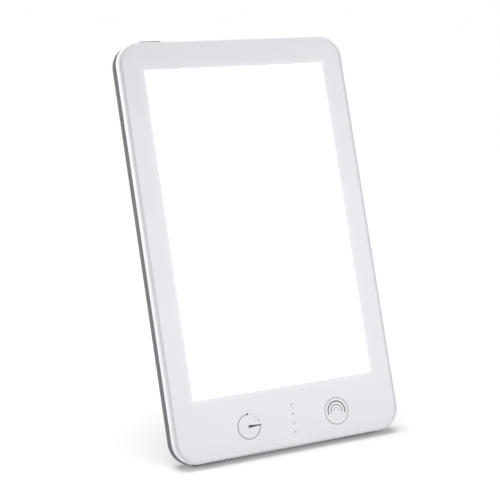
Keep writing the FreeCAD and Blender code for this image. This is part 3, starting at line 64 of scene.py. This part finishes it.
# %% Measure the leaning face
press = next(joint for joint in frame["joints"] if joint["type"] == "slide")
ACROSS = np.array([1.0, 0.0, 0.0])
UP_FACE = -np.array(press["axis"]) / np.linalg.norm(press["axis"])
INTO_LAMP = np.cross(UP_FACE, ACROSS)


def points_of(node):
    """The node's vertices as an array with one row for each."""
    mesh = frame["nodes"][node].data
    flat = np.empty(len(mesh.vertices) * 3, np.float32)
    mesh.vertices.foreach_get("co", flat)
    return flat.reshape(-1, 3).astype(float)


bezel_points = points_of("front_bezel")
FACE_DEPTH = (bezel_points @ INTO_LAMP).min()
FACE_FOOT = (bezel_points @ UP_FACE).min()
lean = math.degrees(math.atan2(UP_FACE[1], UP_FACE[2]))
print(f"the face leans back {lean:.2f} degrees")


def on_lamp(across, up, depth):
    """Across, up the face and into the lamp, in millimetres from the middle of the face's lower
    edge, to a point of the room: the sum of the three directions, each times its length."""
    across, up, depth = np.broadcast_arrays(across, up, depth)
    return (
        across[..., None] * MM * ACROSS
        + (FACE_FOOT + up[..., None] * MM) * UP_FACE
        + (FACE_DEPTH + depth[..., None] * MM) * INTO_LAMP
    )


# %% [markdown]
# The camera comes first, so that every later choice is judged in the picture. It stands to the
# lamp's left and a little above, and looks down 12 degrees. A long lens keeps the near and the
# far edge of the panel almost parallel, as in the product picture.

# %% Camera
camera_data = bpy.data.cameras.new("Camera")
camera_data.sensor_width = 36.0
camera_data.lens = 97.785
camera_data.clip_start = 0.05
camera_data.clip_end = 50.0
camera = bpy.data.objects.new("Camera", camera_data)
camera.location = (-0.42200, -0.78944, 0.32421)
camera.rotation_euler = (math.radians(77.58), 0.0, math.radians(-27.80))
bpy.context.scene.collection.objects.link(camera)
bpy.context.scene.camera = camera
print("camera to the middle of the foot:", round(camera.location.length, 3), "m")

# %% [markdown]
# A surface on a grid is the one shape tool used below: a table of points with two parameters,
# joined into quads. The second parameter runs round the shape, so its last column joins the
# first. It could be done with Blender's own primitives, but a table of points keeps the formula
# in sight. Several such surfaces are then welded into one piece with its faces turned outwards.

# %% Grid surfaces
def tube(grid):
    """A mesh with one quad for each step down the rows and each step round the columns of
    grid[i, j]. The last column joins the first."""
    rows, columns = grid.shape[:2]
    index = np.arange(rows * columns).reshape(rows, columns)
    below = np.roll(index, -1, axis=0)
    right = np.roll(index, -1, axis=1)
    corner = np.roll(below, -1, axis=1)
    quads = np.stack([index, right, corner, below], axis=-1)[:-1]
    mesh = bpy.data.meshes.new("tube")
    mesh.from_pydata(grid.reshape(-1, 3).tolist(), [], quads.reshape(-1, 4).tolist())
    return mesh


def weld(meshes, name):
    """Joins meshes into one piece of the lamp, merges doubled points, turns faces outwards."""
    whole = bmesh.new()
    for mesh in meshes:
        whole.from_mesh(mesh)
        bpy.data.meshes.remove(mesh)
    bmesh.ops.remove_doubles(whole, verts=whole.verts, dist=2e-7)
    bmesh.ops.dissolve_degenerate(whole, edges=whole.edges, dist=1e-7)
    bmesh.ops.recalc_face_normals(whole, faces=whole.faces)
    joined_mesh = bpy.data.meshes.new(name)
    whole.to_mesh(joined_mesh)
    whole.free()
    joined = bpy.data.objects.new(name, joined_mesh)
    bpy.context.scene.collection.objects.link(joined)
    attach(joined, "lamp")
    print(name, "has", len(joined_mesh.polygons), "faces")
    return joined


# %% [markdown]
# The touch field carries fine printed marks: a clock ring with a hand and dots for the timer,
# and nested arcs for the brightness. Screen print stands a few hundredths of a millimetre
# proud. Each mark is a stroke: a line on the face with a width that shrinks to nothing at both
# ends, which gives the round ends of a pen stroke, and a dot is just a very short stroke. The
# strength of the ink is kept as a number on each point, for the ink's material to read.

# %% Printed strokes
INK_PROUD = 0.03
INK_SUNK = 0.05


def stroke(across, up, half_width, strength):
    """A closed band round a line on the face. At each step the line's direction, turned a
    quarter, carries the half width to both sides, and four corners close the section: sunk,
    proud, proud, sunk. The half width is zero at both ends, so the ends close too."""
    along = np.gradient(np.stack([across, up], axis=-1), axis=0)
    along /= np.maximum(np.linalg.norm(along, axis=1, keepdims=True), 1e-9)
    side = np.stack([-along[:, 1], along[:, 0]], axis=-1) * half_width[:, None]
    line = np.stack([across, up], axis=-1)
    left, right = line + side, line - side
    flat = np.stack([left, left, right, right], axis=1)
    depth = np.broadcast_to([INK_SUNK, -INK_PROUD, -INK_PROUD, INK_SUNK], flat.shape[:2])
    mesh = tube(on_lamp(flat[..., 0], flat[..., 1], depth))
    ink = mesh.attributes.new("ink", "FLOAT", "POINT")
    ink.data.foreach_set("value", np.full(len(mesh.vertices), strength, np.float32))
    return mesh


def round_ended(length, half_width, count=64):
    """Steps from 0 to the length, crowded at both ends, with the half width of a line that ends
    in half circles: the square root of 1 minus the square of the way into the end."""
    steps = (1 - np.cos(np.linspace(0, math.pi, count))) / 2 * length
    into_end = np.clip(np.minimum(steps, length - steps) / half_width, 0, 1)
    return steps, half_width * np.sqrt(np.clip(1 - (1 - into_end) ** 2, 0, 1))


def arc(centre, radius, start, stop, width, strength, count=96):
    """A stroke whose line runs round the centre at the radius, from one angle to another."""
    length = abs(math.radians(stop - start)) * radius
    steps, half_width = round_ended(length, width / 2, count)
    angle = np.radians(start) + np.radians(stop - start) * steps / length
    across, up = centre[0] + radius * np.cos(angle), centre[1] + radius * np.sin(angle)
    return stroke(across, up, half_width, strength)


def dot(across, up, radius, strength):
    """A stroke twice as long as its half width is a disc."""
    steps, half_width = round_ended(2 * radius, radius, 24)
    return stroke(across - radius + steps, np.full_like(steps, up), half_width, strength)


print(f"ink stands {INK_PROUD} mm proud and reaches {INK_SUNK} mm into the face")

# %% [markdown]
# The timer mark is three quarters of a clock ring. The missing quarter holds the hour dots,
# printed fainter towards the start, and a tapering hand points at the last one. Each dot is a
# row of a table: its angle, its radius and the strength of its ink.

# %% Timer mark
TIMER = (-30.6, 18.2)
TIMER_RADIUS = 8.1
RING_WIDTH = 0.50
HOURS = (
    (90, 0.68, 1.0),
    (67.5, 0.52, 0.30),
    (45, 0.52, 0.42),
    (22.5, 0.56, 0.72),
    (0, 0.66, 0.95),
)
HAND_TAIL, HAND_HALF_WIDTH, HAND_TAPER = 0.6, 0.98, 0.70
ring = [arc(TIMER, TIMER_RADIUS, 0, -270, RING_WIDTH, 0.88, 160)]
for degrees, radius, strength in HOURS:
    turned = math.radians(degrees)
    across = TIMER[0] + TIMER_RADIUS * math.cos(turned)
    up = TIMER[1] + TIMER_RADIUS * math.sin(turned)
    ring.append(dot(across, up, radius, strength))
hand_steps, hand_width = round_ended(TIMER_RADIUS + HAND_TAIL, HAND_HALF_WIDTH, 48)
hand_width *= 1 - HAND_TAPER * hand_steps / hand_steps[-1]
hand_line = TIMER[0] - HAND_TAIL + hand_steps
ring.append(stroke(hand_line, np.full_like(hand_steps, TIMER[1]), hand_width, 1.0))
timer_mark = weld(ring, "timer_mark")

# %% [markdown]
# The brightness mark is a closed ring round three nested arcs, like a rainbow. Each arc is a
# row: its radius, how far below the level it runs on, its width and its strength. The outer arc
# is the boldest, which reads as light spreading outwards.

# %% Brightness mark
BRIGHTNESS = (35.95, 18.3)
ARCS = ((6.5, 16, 0.80, 1.0), (4.25, 16, 0.62, 0.80), (2.25, 7, 0.46, 0.55))
rainbow = [arc(BRIGHTNESS, 8.95, 0, 360, 0.42, 0.78, 200)]
for radius, below, width, strength in ARCS:
    rainbow.append(arc(BRIGHTNESS, radius, 180 + below, -below, width, strength))
brightness_mark = weld(rainbow, "brightness_mark")

# %% [markdown]
# The back is held by five screws that sit in wells. A plain disc would look like a toy, so each
# head is a low dome with a cross drive. The dome is a surface of revolution; the drive is taken
# off its height wherever a point lies near either arm of the cross.

# %% Screw heads with a cross drive
HEAD_RADIUS, HEAD_HEIGHT, SHANK_RADIUS = 2.5, 1.8, 1.25
ARM_HALF_WIDTH, ARM_SLOPE = 0.46, 0.16
ARM_REACH, ARM_END_SLOPE = 0.62 * HEAD_RADIUS, 0.25
DRIVE_DEPTH = 0.55 * HEAD_HEIGHT
SCREW_PLACES = ((-74.0, 9.0), (74.0, 9.0), (-74.0, 268.0), (74.0, 268.0), (0.0, 269.0))


def screw(across, up, floor_depth, shank_end):
    """Height over a disc: a dome, height times the fourth root of 1 minus (r over the radius)
    to the fourth, less the drive. The drive falls where the smaller of |x| and |y| is under the
    arm's half width and the larger is under the arm's reach. Rings for the underside of the
    head, the shank and its end follow the dome's rim, so the screw is closed."""
    even = np.linspace(0, HEAD_RADIUS, 32)
    distance = np.unique(np.concatenate([even, [HEAD_RADIUS * 0.985, HEAD_RADIUS * 0.999]]))
    angle = np.linspace(0, 2 * math.pi, 96, endpoint=False)
    r, a = np.meshgrid(distance, angle, indexing="ij")
    x, y = r * np.cos(a), r * np.sin(a)
    dome = HEAD_HEIGHT * np.clip(1 - (r / HEAD_RADIUS) ** 4, 0, 1) ** 0.25
    arm = np.clip((ARM_HALF_WIDTH - np.minimum(abs(x), abs(y))) / ARM_SLOPE, 0, 1)
    reach = np.clip((ARM_REACH - np.maximum(abs(x), abs(y))) / ARM_END_SLOPE, 0, 1)
    top = floor_depth + dome - DRIVE_DEPTH * arm * reach
    rings = np.array([SHANK_RADIUS, SHANK_RADIUS, 0.0])[:, None]
    ends = np.array([floor_depth, shank_end, shank_end])[:, None] * np.ones((1, 96))
    x = np.vstack([x, rings * np.cos(angle)])
    y = np.vstack([y, rings * np.sin(angle)])
    return tube(on_lamp(across + x, up + y, np.vstack([top, ends])))


screw_depths = (points_of("cover_screws") @ INTO_LAMP - FACE_DEPTH) / MM
well_floor = screw_depths.max() - HEAD_HEIGHT
heads = [screw(across, up, well_floor, screw_depths.min()) for across, up in SCREW_PLACES]
cover_screw_drives = weld(heads, "cover_screw_drives")
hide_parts("cover_screws")

# %% [markdown]
# Every finish starts from the same three things that real mouldings show: a colour that drifts
# a little, a gloss, and a fine relief. One helper lays them down, with each size given in
# millimetres, and each finish below only says its own numbers.

# %% Finish helper
def finish(name, dark, pale, roughness, drift_mm, grain_mm, relief_mm, metallic=0.0):
    """Colour: noise of the drift's size mixes dark and pale. Relief: noise of the grain's size
    lifts the surface by at most relief_mm. Returns the material, its nodes and its shader."""
    material = bpy.data.materials.new(name)
    material.use_nodes = True
    nodes, links = material.node_tree.nodes, material.node_tree.links
    shader = nodes["Principled BSDF"]
    shader.inputs["Roughness"].default_value = roughness
    shader.inputs["Metallic"].default_value = metallic
    place = nodes.new("ShaderNodeTexCoord")
    drift = nodes.new("ShaderNodeTexNoise")
    drift.inputs["Scale"].default_value = 1000.0 / drift_mm
    drift.inputs["Detail"].default_value = 3.0
    tint = nodes.new("ShaderNodeValToRGB")
    tint.color_ramp.elements[0].position = 0.3
    tint.color_ramp.elements[1].position = 0.7
    tint.color_ramp.elements[0].color = (*dark, 1.0)
    tint.color_ramp.elements[1].color = (*pale, 1.0)
    grain = nodes.new("ShaderNodeTexNoise")
    grain.inputs["Scale"].default_value = 1000.0 / grain_mm
    grain.inputs["Detail"].default_value = 2.0
    relief = nodes.new("ShaderNodeBump")
    relief.inputs["Strength"].default_value = 1.0
    relief.inputs["Distance"].default_value = relief_mm * MM
    links.new(place.outputs["Object"], drift.inputs["Vector"])
    links.new(place.outputs["Object"], grain.inputs["Vector"])
    links.new(drift.outputs["Fac"], tint.inputs["Fac"])
    links.new(tint.outputs["Color"], shader.inputs["Base Color"])
    links.new(grain.outputs["Fac"], relief.inputs["Height"])
    links.new(relief.outputs["Normal"], shader.inputs["Normal"])
    return material, nodes, links, shader


def dress(slot, made):
    """Gives every node of one material slot its finish."""
    parts = frame["record"]["subparts"]
    dressed = [part["node"] for part in parts if part["material_slot"] == slot]
    for node in dressed:
        frame["nodes"][node].material_slots[0].material = made
    print(slot, "on", ", ".join(dressed))


def dress_plainly(slot, *numbers):
    """Dresses a slot in a finish that needs nothing added."""
    dress(slot, finish(slot, *numbers)[0])


# %% [markdown]
# The front frame is a satin white moulding, cool against the warm studio. Its polish is even
# but not perfect: a slow ripple, a few millimetres wide and a thousandth high, breaks up the
# highlight along the rounded rim, the way injection-moulded plastic does.

# %% White front frame
white_shell, nodes, links, shader = finish(
    "white_shell", (0.735, 0.727, 0.764), (0.760, 0.752, 0.788), 0.32, 60.0, 7.0, 0.004
)
shader.inputs["Coat Weight"].default_value = 0.15
shader.inputs["Coat Roughness"].default_value = 0.12
dress("white_shell", white_shell)

# %% [markdown]
# The next two effects need arithmetic on the surface: how far is this point from an edge? Math
# nodes do it while rendering, without an image and without touching the mesh. Two helpers keep
# the sums readable: one makes a Math node, the other measures a point along a direction.

# %% Arithmetic on a surface
def worked(nodes, links, operation, first, second=None):
    """A Math node whose inputs are sockets or plain numbers."""
    node = nodes.new("ShaderNodeMath")
    node.operation = operation
    for index, value in enumerate((first, second)):
        if value is None:
            continue
        if isinstance(value, (int, float)):
            node.inputs[index].default_value = value
        else:
            links.new(value, node.inputs[index])
    return node.outputs[0]


def along(nodes, links, direction):
    """How far a point of the surface lies along a direction."""
    node = nodes.new("ShaderNodeVectorMath")
    node.operation = "DOT_PRODUCT"
    node.inputs[1].default_value = tuple(direction)
    links.new(nodes["Texture Coordinate"].outputs["Object"], node.inputs[0])
    return node.outputs["Value"]


work = partial(worked, nodes, links)
up_face = along(nodes, links, UP_FACE)
sideways = work("ABSOLUTE", along(nodes, links, ACROSS))
print("measured on:", white_shell.name)

# %% [markdown]
# The frame is thin at the window, so the pane's light soaks a little way into its edge and the
# border glows. That glow is painted light: emission in the frame's own material, which follows
# the distance from the window's edge, measured in the plane of the face, and falls to about a
# third in a millimetre and a half. A lamp behind the frame would need light to travel through
# it, which renders slowly and with grain.

# %% Painted glow at the window's edge
GLOW_STRENGTH, GLOW_REACH = 0.13, 1.5 * MM
pane_points = points_of("diffuser_panel")
raised = pane_points[pane_points @ INTO_LAMP < FACE_DEPTH + 0.5 * MM]
WINDOW_HALF = float(raised[:, 0].max())
WINDOW_LOW, WINDOW_HIGH = float((raised @ UP_FACE).min()), float((raised @ UP_FACE).max())
WINDOW_HEIGHT = WINDOW_HIGH - WINDOW_LOW
print("window in mm:", round(2 * WINDOW_HALF / MM, 1), "by", round(WINDOW_HEIGHT / MM, 1))

beside = work("SUBTRACT", sideways, WINDOW_HALF)
above = work("SUBTRACT", up_face, WINDOW_HIGH)
below = work("SUBTRACT", WINDOW_LOW, up_face)
off_edge = work("MAXIMUM", beside, work("MAXIMUM", above, below))
fading = work("MULTIPLY", off_edge, -1.0 / GLOW_REACH)
# painted glow: emission on the frame standing in for the pane's light at the window's edge
painted_glow = work("EXPONENT", work("MINIMUM", fading, 0.0))
links.new(work("MULTIPLY", painted_glow, GLOW_STRENGTH), shader.inputs["Emission Strength"])
shader.inputs["Emission Color"].default_value = (1.0, 1.0, 1.0, 1.0)

# %% [markdown]
# Where the rounded rim meets the flat face the mould leaves a fine crease along both sides, and
# it gathers shade. That shade is painted into the frame's colour. It follows the distance from
# the outline, which is a rectangle with rounded corners: step in by the corner's radius, take the
# distance to what is left, and add the radius back. The painted shade darkens the plastic a
# little, two millimetres inside the edge, and round each corner it fades, by the share of that
# distance that runs sideways.

# %% Painted shade in the crease inside the rim
CORNER = 15.5 * MM
CREASE_IN, CREASE_WIDTH, CREASE_SHADE = 1.95 * MM, 0.80 * MM, 0.25
face_half = float(bezel_points[:, 0].max())
face_height = float((bezel_points @ UP_FACE).max() - FACE_FOOT)
from_side = work("SUBTRACT", sideways, face_half - CORNER)
from_middle = work("ABSOLUTE", work("SUBTRACT", up_face, float(FACE_FOOT) + face_height / 2))
from_end = work("SUBTRACT", from_middle, face_height / 2 - CORNER)
side_part = work("MAXIMUM", from_side, 0.0)
end_part = work("MAXIMUM", from_end, 0.0)
side_square = work("MULTIPLY", side_part, side_part)
both_squares = work("ADD", side_square, work("MULTIPLY", end_part, end_part))
inside = work("MINIMUM", work("MAXIMUM", from_side, from_end), 0.0)
outline = work("ADD", work("SQRT", both_squares), inside)
off_crease = work("DIVIDE", work("ADD", outline, CREASE_IN - CORNER), CREASE_WIDTH)
crease = work("EXPONENT", work("MULTIPLY", work("MULTIPLY", off_crease, off_crease), -1.0))
sideways_share = work("DIVIDE", side_square, work("MAXIMUM", both_squares, 1e-9))
# painted shade: the crease's shade multiplied into the frame's base colour
painted_crease_shade = work("MULTIPLY", work("MULTIPLY", crease, sideways_share), CREASE_SHADE)
shaded = nodes.new("ShaderNodeMix")
shaded.data_type = "RGBA"
shaded.blend_type = "MULTIPLY"
shaded.inputs["B"].default_value = (0.0, 0.0, 0.0, 1.0)
links.new(painted_crease_shade, shaded.inputs["Factor"])
links.new(nodes["Color Ramp"].outputs["Color"], shaded.inputs["A"])
links.new(shaded.outputs["Result"], shader.inputs["Base Color"])
print("face in mm:", round(2 * face_half / MM, 1), "by", round(face_height / MM, 1))

# %% [markdown]
# The cover, the leg and the button are grey mouldings from eroded tools, which leave a fine,
# even sparkle: a relief of about a third of a millimetre across. The leg is a shade darker,
# and the button is bluish and smoother, because fingers polish it.

# %% Grey mouldings
dress_plainly("grey_shell", (0.066, 0.067, 0.069), (0.080, 0.081, 0.084), 0.44, 22.0, 0.35, 0.012)
dress_plainly("grey_leg", (0.060, 0.062, 0.065), (0.074, 0.076, 0.080), 0.50, 18.0, 0.35, 0.014)
dress_plainly("grey_button", (0.135, 0.143, 0.156), (0.158, 0.166, 0.180), 0.36, 9.0, 0.30, 0.006)

# %% [markdown]
# The opal pane is the light source. It glows pure white over its whole area, and reads as one
# flat sheet of light. The glow itself belongs to the material, since the light strips that
# really feed it are buried in the edge. Under the glow it is still a glossy sheet of acrylic.

# %% Opal pane
opal_pane, nodes, links, shader = finish(
    "opal_pane", (0.90, 0.90, 0.90), (0.93, 0.93, 0.93), 0.22, 40.0, 5.0, 0.001
)
shader.inputs["Emission Color"].default_value = (1.0, 1.0, 1.0, 1.0)
shader.inputs["Emission Strength"].default_value = 1.1
dress("opal_pane", opal_pane)

# %% [markdown]
# The ink of the marks is one dark grey, printed denser or thinner. A finish normally picks its
# shade by noise. Here the number kept on each point picks it instead, between the thin ink and
# the dense.

# %% Printed ink
THIN_INK, DENSE_INK = (0.70, 0.70, 0.72), (0.045, 0.045, 0.055)
printed_ink, nodes, links, shader = finish(
    "printed_ink", THIN_INK, DENSE_INK, 0.45, 3.0, 0.2, 0.002
)
density = nodes.new("ShaderNodeAttribute")
density.attribute_name = "ink"
shades = nodes["Color Ramp"]
shades.color_ramp.elements[0].position = 0.0
shades.color_ramp.elements[1].position = 1.0
links.new(density.outputs["Fac"], shades.inputs["Fac"])
for mark in (timer_mark, brightness_mark):
    mark.data.materials.append(printed_ink)
    print(mark.name, "is inked")

# %% [markdown]
# Inside, the lamp is made of sheet metal, films and boards. They show only where the back is
# off, yet each has the grain of its own stuff. Rolled sheet is streaked one way, so its noise is
# pulled long, by a mapping that squeezes two of its three directions.

# %% Metals with a rolled or brushed streak
LENGTHWISE = (1.0, 0.06, 0.06)
METALS = {
    "aluminium_sheet": ((0.60, 0.61, 0.63), (0.74, 0.75, 0.77), 0.34, 6.0, 0.5, 0.004),
    "can_aluminium": ((0.66, 0.66, 0.67), (0.78, 0.78, 0.79), 0.28, 2.0, 0.3, 0.002),
    "steel": ((0.46, 0.47, 0.49), (0.60, 0.61, 0.63), 0.33, 3.0, 0.4, 0.003),
    "contact_metal": ((0.68, 0.67, 0.65), (0.78, 0.77, 0.75), 0.20, 2.0, 0.2, 0.001),
}
for slot, numbers in METALS.items():
    metal, nodes, links, shader = finish(slot, *numbers, metallic=1.0)
    for noise in [node for node in nodes if node.type == "TEX_NOISE"]:
        mapping = nodes.new("ShaderNodeMapping")
        mapping.inputs["Scale"].default_value = LENGTHWISE
        links.new(nodes["Texture Coordinate"].outputs["Object"], mapping.inputs["Vector"])
        links.new(mapping.outputs["Vector"], noise.inputs["Vector"])
    dress(slot, metal)

# %% [markdown]
# The films, boards, plastics and foams need nothing beyond the shared finish. A table says each
# one's numbers: dark and pale colour, roughness, then the sizes of drift, grain and relief in
# millimetres. Foam is pitted, so its relief is deep; a printed board is glossy over a weave.

# %% Films, boards, plastics and foams
PLAIN = {
    "white_sheet": ((0.86, 0.86, 0.86), (0.90, 0.90, 0.90), 0.42, 30.0, 1.0, 0.002),
    "white_board": ((0.82, 0.82, 0.79), (0.87, 0.87, 0.84), 0.30, 4.0, 0.5, 0.003),
    "green_board": ((0.010, 0.085, 0.040), (0.020, 0.125, 0.060), 0.28, 3.0, 0.4, 0.006),
    "clear_film": ((0.84, 0.85, 0.86), (0.88, 0.89, 0.90), 0.20, 20.0, 0.1, 0.004),
    "led_phosphor": ((0.80, 0.66, 0.16), (0.88, 0.78, 0.28), 0.35, 0.8, 0.1, 0.003),
    "black_plastic": ((0.014, 0.014, 0.015), (0.024, 0.024, 0.026), 0.42, 4.0, 0.25, 0.006),
    "grey_ferrite": ((0.055, 0.055, 0.060), (0.085, 0.085, 0.090), 0.60, 1.5, 0.2, 0.010),
    "ivory_plastic": ((0.70, 0.66, 0.52), (0.77, 0.73, 0.60), 0.40, 3.0, 0.4, 0.004),
    "grey_foam": ((0.050, 0.050, 0.055), (0.095, 0.095, 0.100), 0.85, 1.2, 0.5, 0.080),
    "conductive_foam": ((0.020, 0.020, 0.022), (0.045, 0.045, 0.048), 0.80, 1.0, 0.5, 0.080),
    "lead_jacket": ((0.38, 0.012, 0.010), (0.47, 0.020, 0.016), 0.45, 3.0, 0.5, 0.004),
    "bush_bronze": ((0.42, 0.27, 0.11), (0.55, 0.37, 0.17), 0.38, 0.8, 0.1, 0.006, 1.0),
}
for slot, numbers in PLAIN.items():
    dress_plainly(slot, *numbers)

# %% [markdown]
# The light guide is a thick sheet of acrylic. It is polished, so its finish is smooth, and its
# index of refraction is set to that of acrylic, which decides how strongly its edges shine.

# %% Acrylic light guide
clear_acrylic, nodes, links, shader = finish(
    "clear_acrylic", (0.86, 0.91, 0.92), (0.90, 0.94, 0.95), 0.05, 50.0, 2.0, 0.0005
)
shader.inputs["IOR"].default_value = 1.49
dress("clear_acrylic", clear_acrylic)

# %% [markdown]
# The four small lights beside the timer are off in the picture. They are the polished ends of
# clear rods that run back to the board, so they look grey: they show the dark behind them.

# %% Indicator windows
clear_pipe, nodes, links, shader = finish(
    "clear_pipe", (0.105, 0.105, 0.112), (0.135, 0.135, 0.142), 0.12, 1.0, 0.5, 0.001
)
shader.inputs["Coat Weight"].default_value = 0.5
shader.inputs["Coat Roughness"].default_value = 0.05
dress("clear_pipe", clear_pipe)

# %% [markdown]
# Two rubbers touch the table: the feet under the edge and the sole of the leg. Matt silicone is
# almost black, catches dust, and has a soft sheen at a low angle. Fine ribs give it grip. A wave
# texture repeats every pi over ten at a scale of one, so the scale follows from the ribs' pitch.

# %% Ribbed rubber
RIB_PITCH, RIB_RELIEF = 1.6 * MM, 0.15 * MM
black_rubber, nodes, links, shader = finish(
    "black_rubber", (0.014, 0.014, 0.015), (0.030, 0.030, 0.031), 0.78, 3.0, 0.3, 0.015
)
ribs = nodes.new("ShaderNodeTexWave")
ribs.bands_direction = "X"
ribs.inputs["Scale"].default_value = math.pi / 10 / RIB_PITCH
rib_relief = nodes.new("ShaderNodeBump")
rib_relief.inputs["Strength"].default_value = 1.0
rib_relief.inputs["Distance"].default_value = RIB_RELIEF
links.new(nodes["Texture Coordinate"].outputs["Object"], ribs.inputs["Vector"])
links.new(ribs.outputs["Fac"], rib_relief.inputs["Height"])
links.new(nodes["Bump"].outputs["Normal"], rib_relief.inputs["Normal"])
links.new(rib_relief.outputs["Normal"], shader.inputs["Normal"])
shader.inputs["Sheen Weight"].default_value = 0.25
shader.inputs["Sheen Roughness"].default_value = 0.5
dress("black_rubber", black_rubber)

# %% [markdown]
# The screws are blackened steel. The frame's own plain screws keep the finish too, and the
# closed ones with a drive, made above, carry it where it shows.

# %% Blackened screws
dark_screw = finish(
    "dark_screw", (0.030, 0.030, 0.033), (0.065, 0.065, 0.070), 0.36, 1.2, 0.2, 0.004, 1.0
)[0]
dress("dark_screw", dark_screw)
cover_screw_drives.data.materials.append(dark_screw)

# %% [markdown]
# The lamp stands on a seamless white sheet. To the camera the sheet adds just enough of its own
# white to reach the paper white of the picture, while the shadow under the lamp stays, and the
# light on the lamp is untouched. The same is done for mirror rays, so gloss sees white too.

# %% Floor
def seen_directly(nodes, links):
    """One for camera, mirror and see-through rays, and zero for the rays that carry light."""
    path = nodes.new("ShaderNodeLightPath").outputs
    either = worked(nodes, links, "MAXIMUM", path["Is Camera Ray"], path["Is Glossy Ray"])
    return worked(nodes, links, "MAXIMUM", either, path["Is Transmission Ray"])


PAPER_LIFT = 0.125
bpy.ops.mesh.primitive_plane_add(size=12.0, location=(0.0, 0.0, 0.0))
floor = bpy.context.object
floor.name = "floor"
paper, nodes, links, shader = finish(
    "paper", (0.80, 0.80, 0.80), (0.82, 0.82, 0.82), 0.9, 300.0, 4.0, 0.01
)
shader.inputs["Specular IOR Level"].default_value = 0.1
glow = nodes.new("ShaderNodeEmission")
glow.inputs["Color"].default_value = (1.0, 1.0, 1.0, 1.0)
lift = worked(nodes, links, "MULTIPLY", seen_directly(nodes, links), PAPER_LIFT)
links.new(lift, glow.inputs["Strength"])
both = nodes.new("ShaderNodeAddShader")
links.new(shader.outputs[0], both.inputs[0])
links.new(glow.outputs[0], both.inputs[1])
links.new(both.outputs[0], nodes["Material Output"].inputs["Surface"])
floor.data.materials.append(paper)
print("floor:", floor.dimensions.x, "m wide")

# %% [markdown]
# The surroundings are the studio's white walls. They light the lamp softly at a third of full
# white, but a ray that looks straight at them, or sees them in a mirror, meets full white. That
# keeps the backdrop clean without washing out the lamp.

# %% World
WORLD_LIGHT = 0.36
world = bpy.data.worlds.new("Studio")
bpy.context.scene.world = world
world.use_nodes = True
nodes, links = world.node_tree.nodes, world.node_tree.links
sky = nodes["Background"]
sky.inputs["Color"].default_value = (1.0, 1.0, 1.0, 1.0)
level = nodes.new("ShaderNodeMapRange")
level.inputs["To Min"].default_value = WORLD_LIGHT
level.inputs["To Max"].default_value = 1.0
links.new(seen_directly(nodes, links), level.inputs["Value"])
links.new(level.outputs[0], sky.inputs["Strength"])
print("world:", world.name, "at", WORLD_LIGHT)

# %% [markdown]
# Three lamps do the rest. The key is a very wide sun, high and a little behind the lamp: it
# lights the sheet evenly, and because it reaches over the leaning panel from behind, a short
# soft shadow falls in front of the base. A low soft box in front, to the right, lights the face
# to a step below the paper. A second one at the left, just behind the face's plane, grazes past
# the face and draws the bright line along the frame's left wall.

# %% Lamps
def aimed(name, data, place, aim):
    """A lamp at a place, turned so that its axis runs from there to the aim."""
    lamp = bpy.data.objects.new(name, data)
    lamp.location = place
    towards = np.subtract(aim, place)
    spread = math.hypot(towards[0], towards[1])
    turn = math.atan2(-towards[0], towards[1])
    lamp.rotation_euler = (math.atan2(spread, -towards[2]), 0.0, turn)
    bpy.context.scene.collection.objects.link(lamp)
    print(name, "at", place)


def soft_box(name, size, energy, place, aim):
    """A square area light."""
    data = bpy.data.lights.new(name, "AREA")
    data.shape = "SQUARE"
    data.size = size
    data.energy = energy
    aimed(name, data, place, aim)


key_data = bpy.data.lights.new("KeyLight", "SUN")
key_data.energy = 2.3
key_data.angle = math.radians(50)
aimed("KeyLight", key_data, (-0.20, 0.50, 2.0), (0.0, 0.0, 0.1))
soft_box("FrontLight", 0.6, 4.3, (0.50, -1.05, 0.55), (0.0, 0.0, 0.16))
soft_box("SideLight", 0.9, 12.5, (-1.55, 0.6, 0.45), (0.0, 0.0, 0.13))
bpy.context.scene.view_settings.view_transform = "Standard"
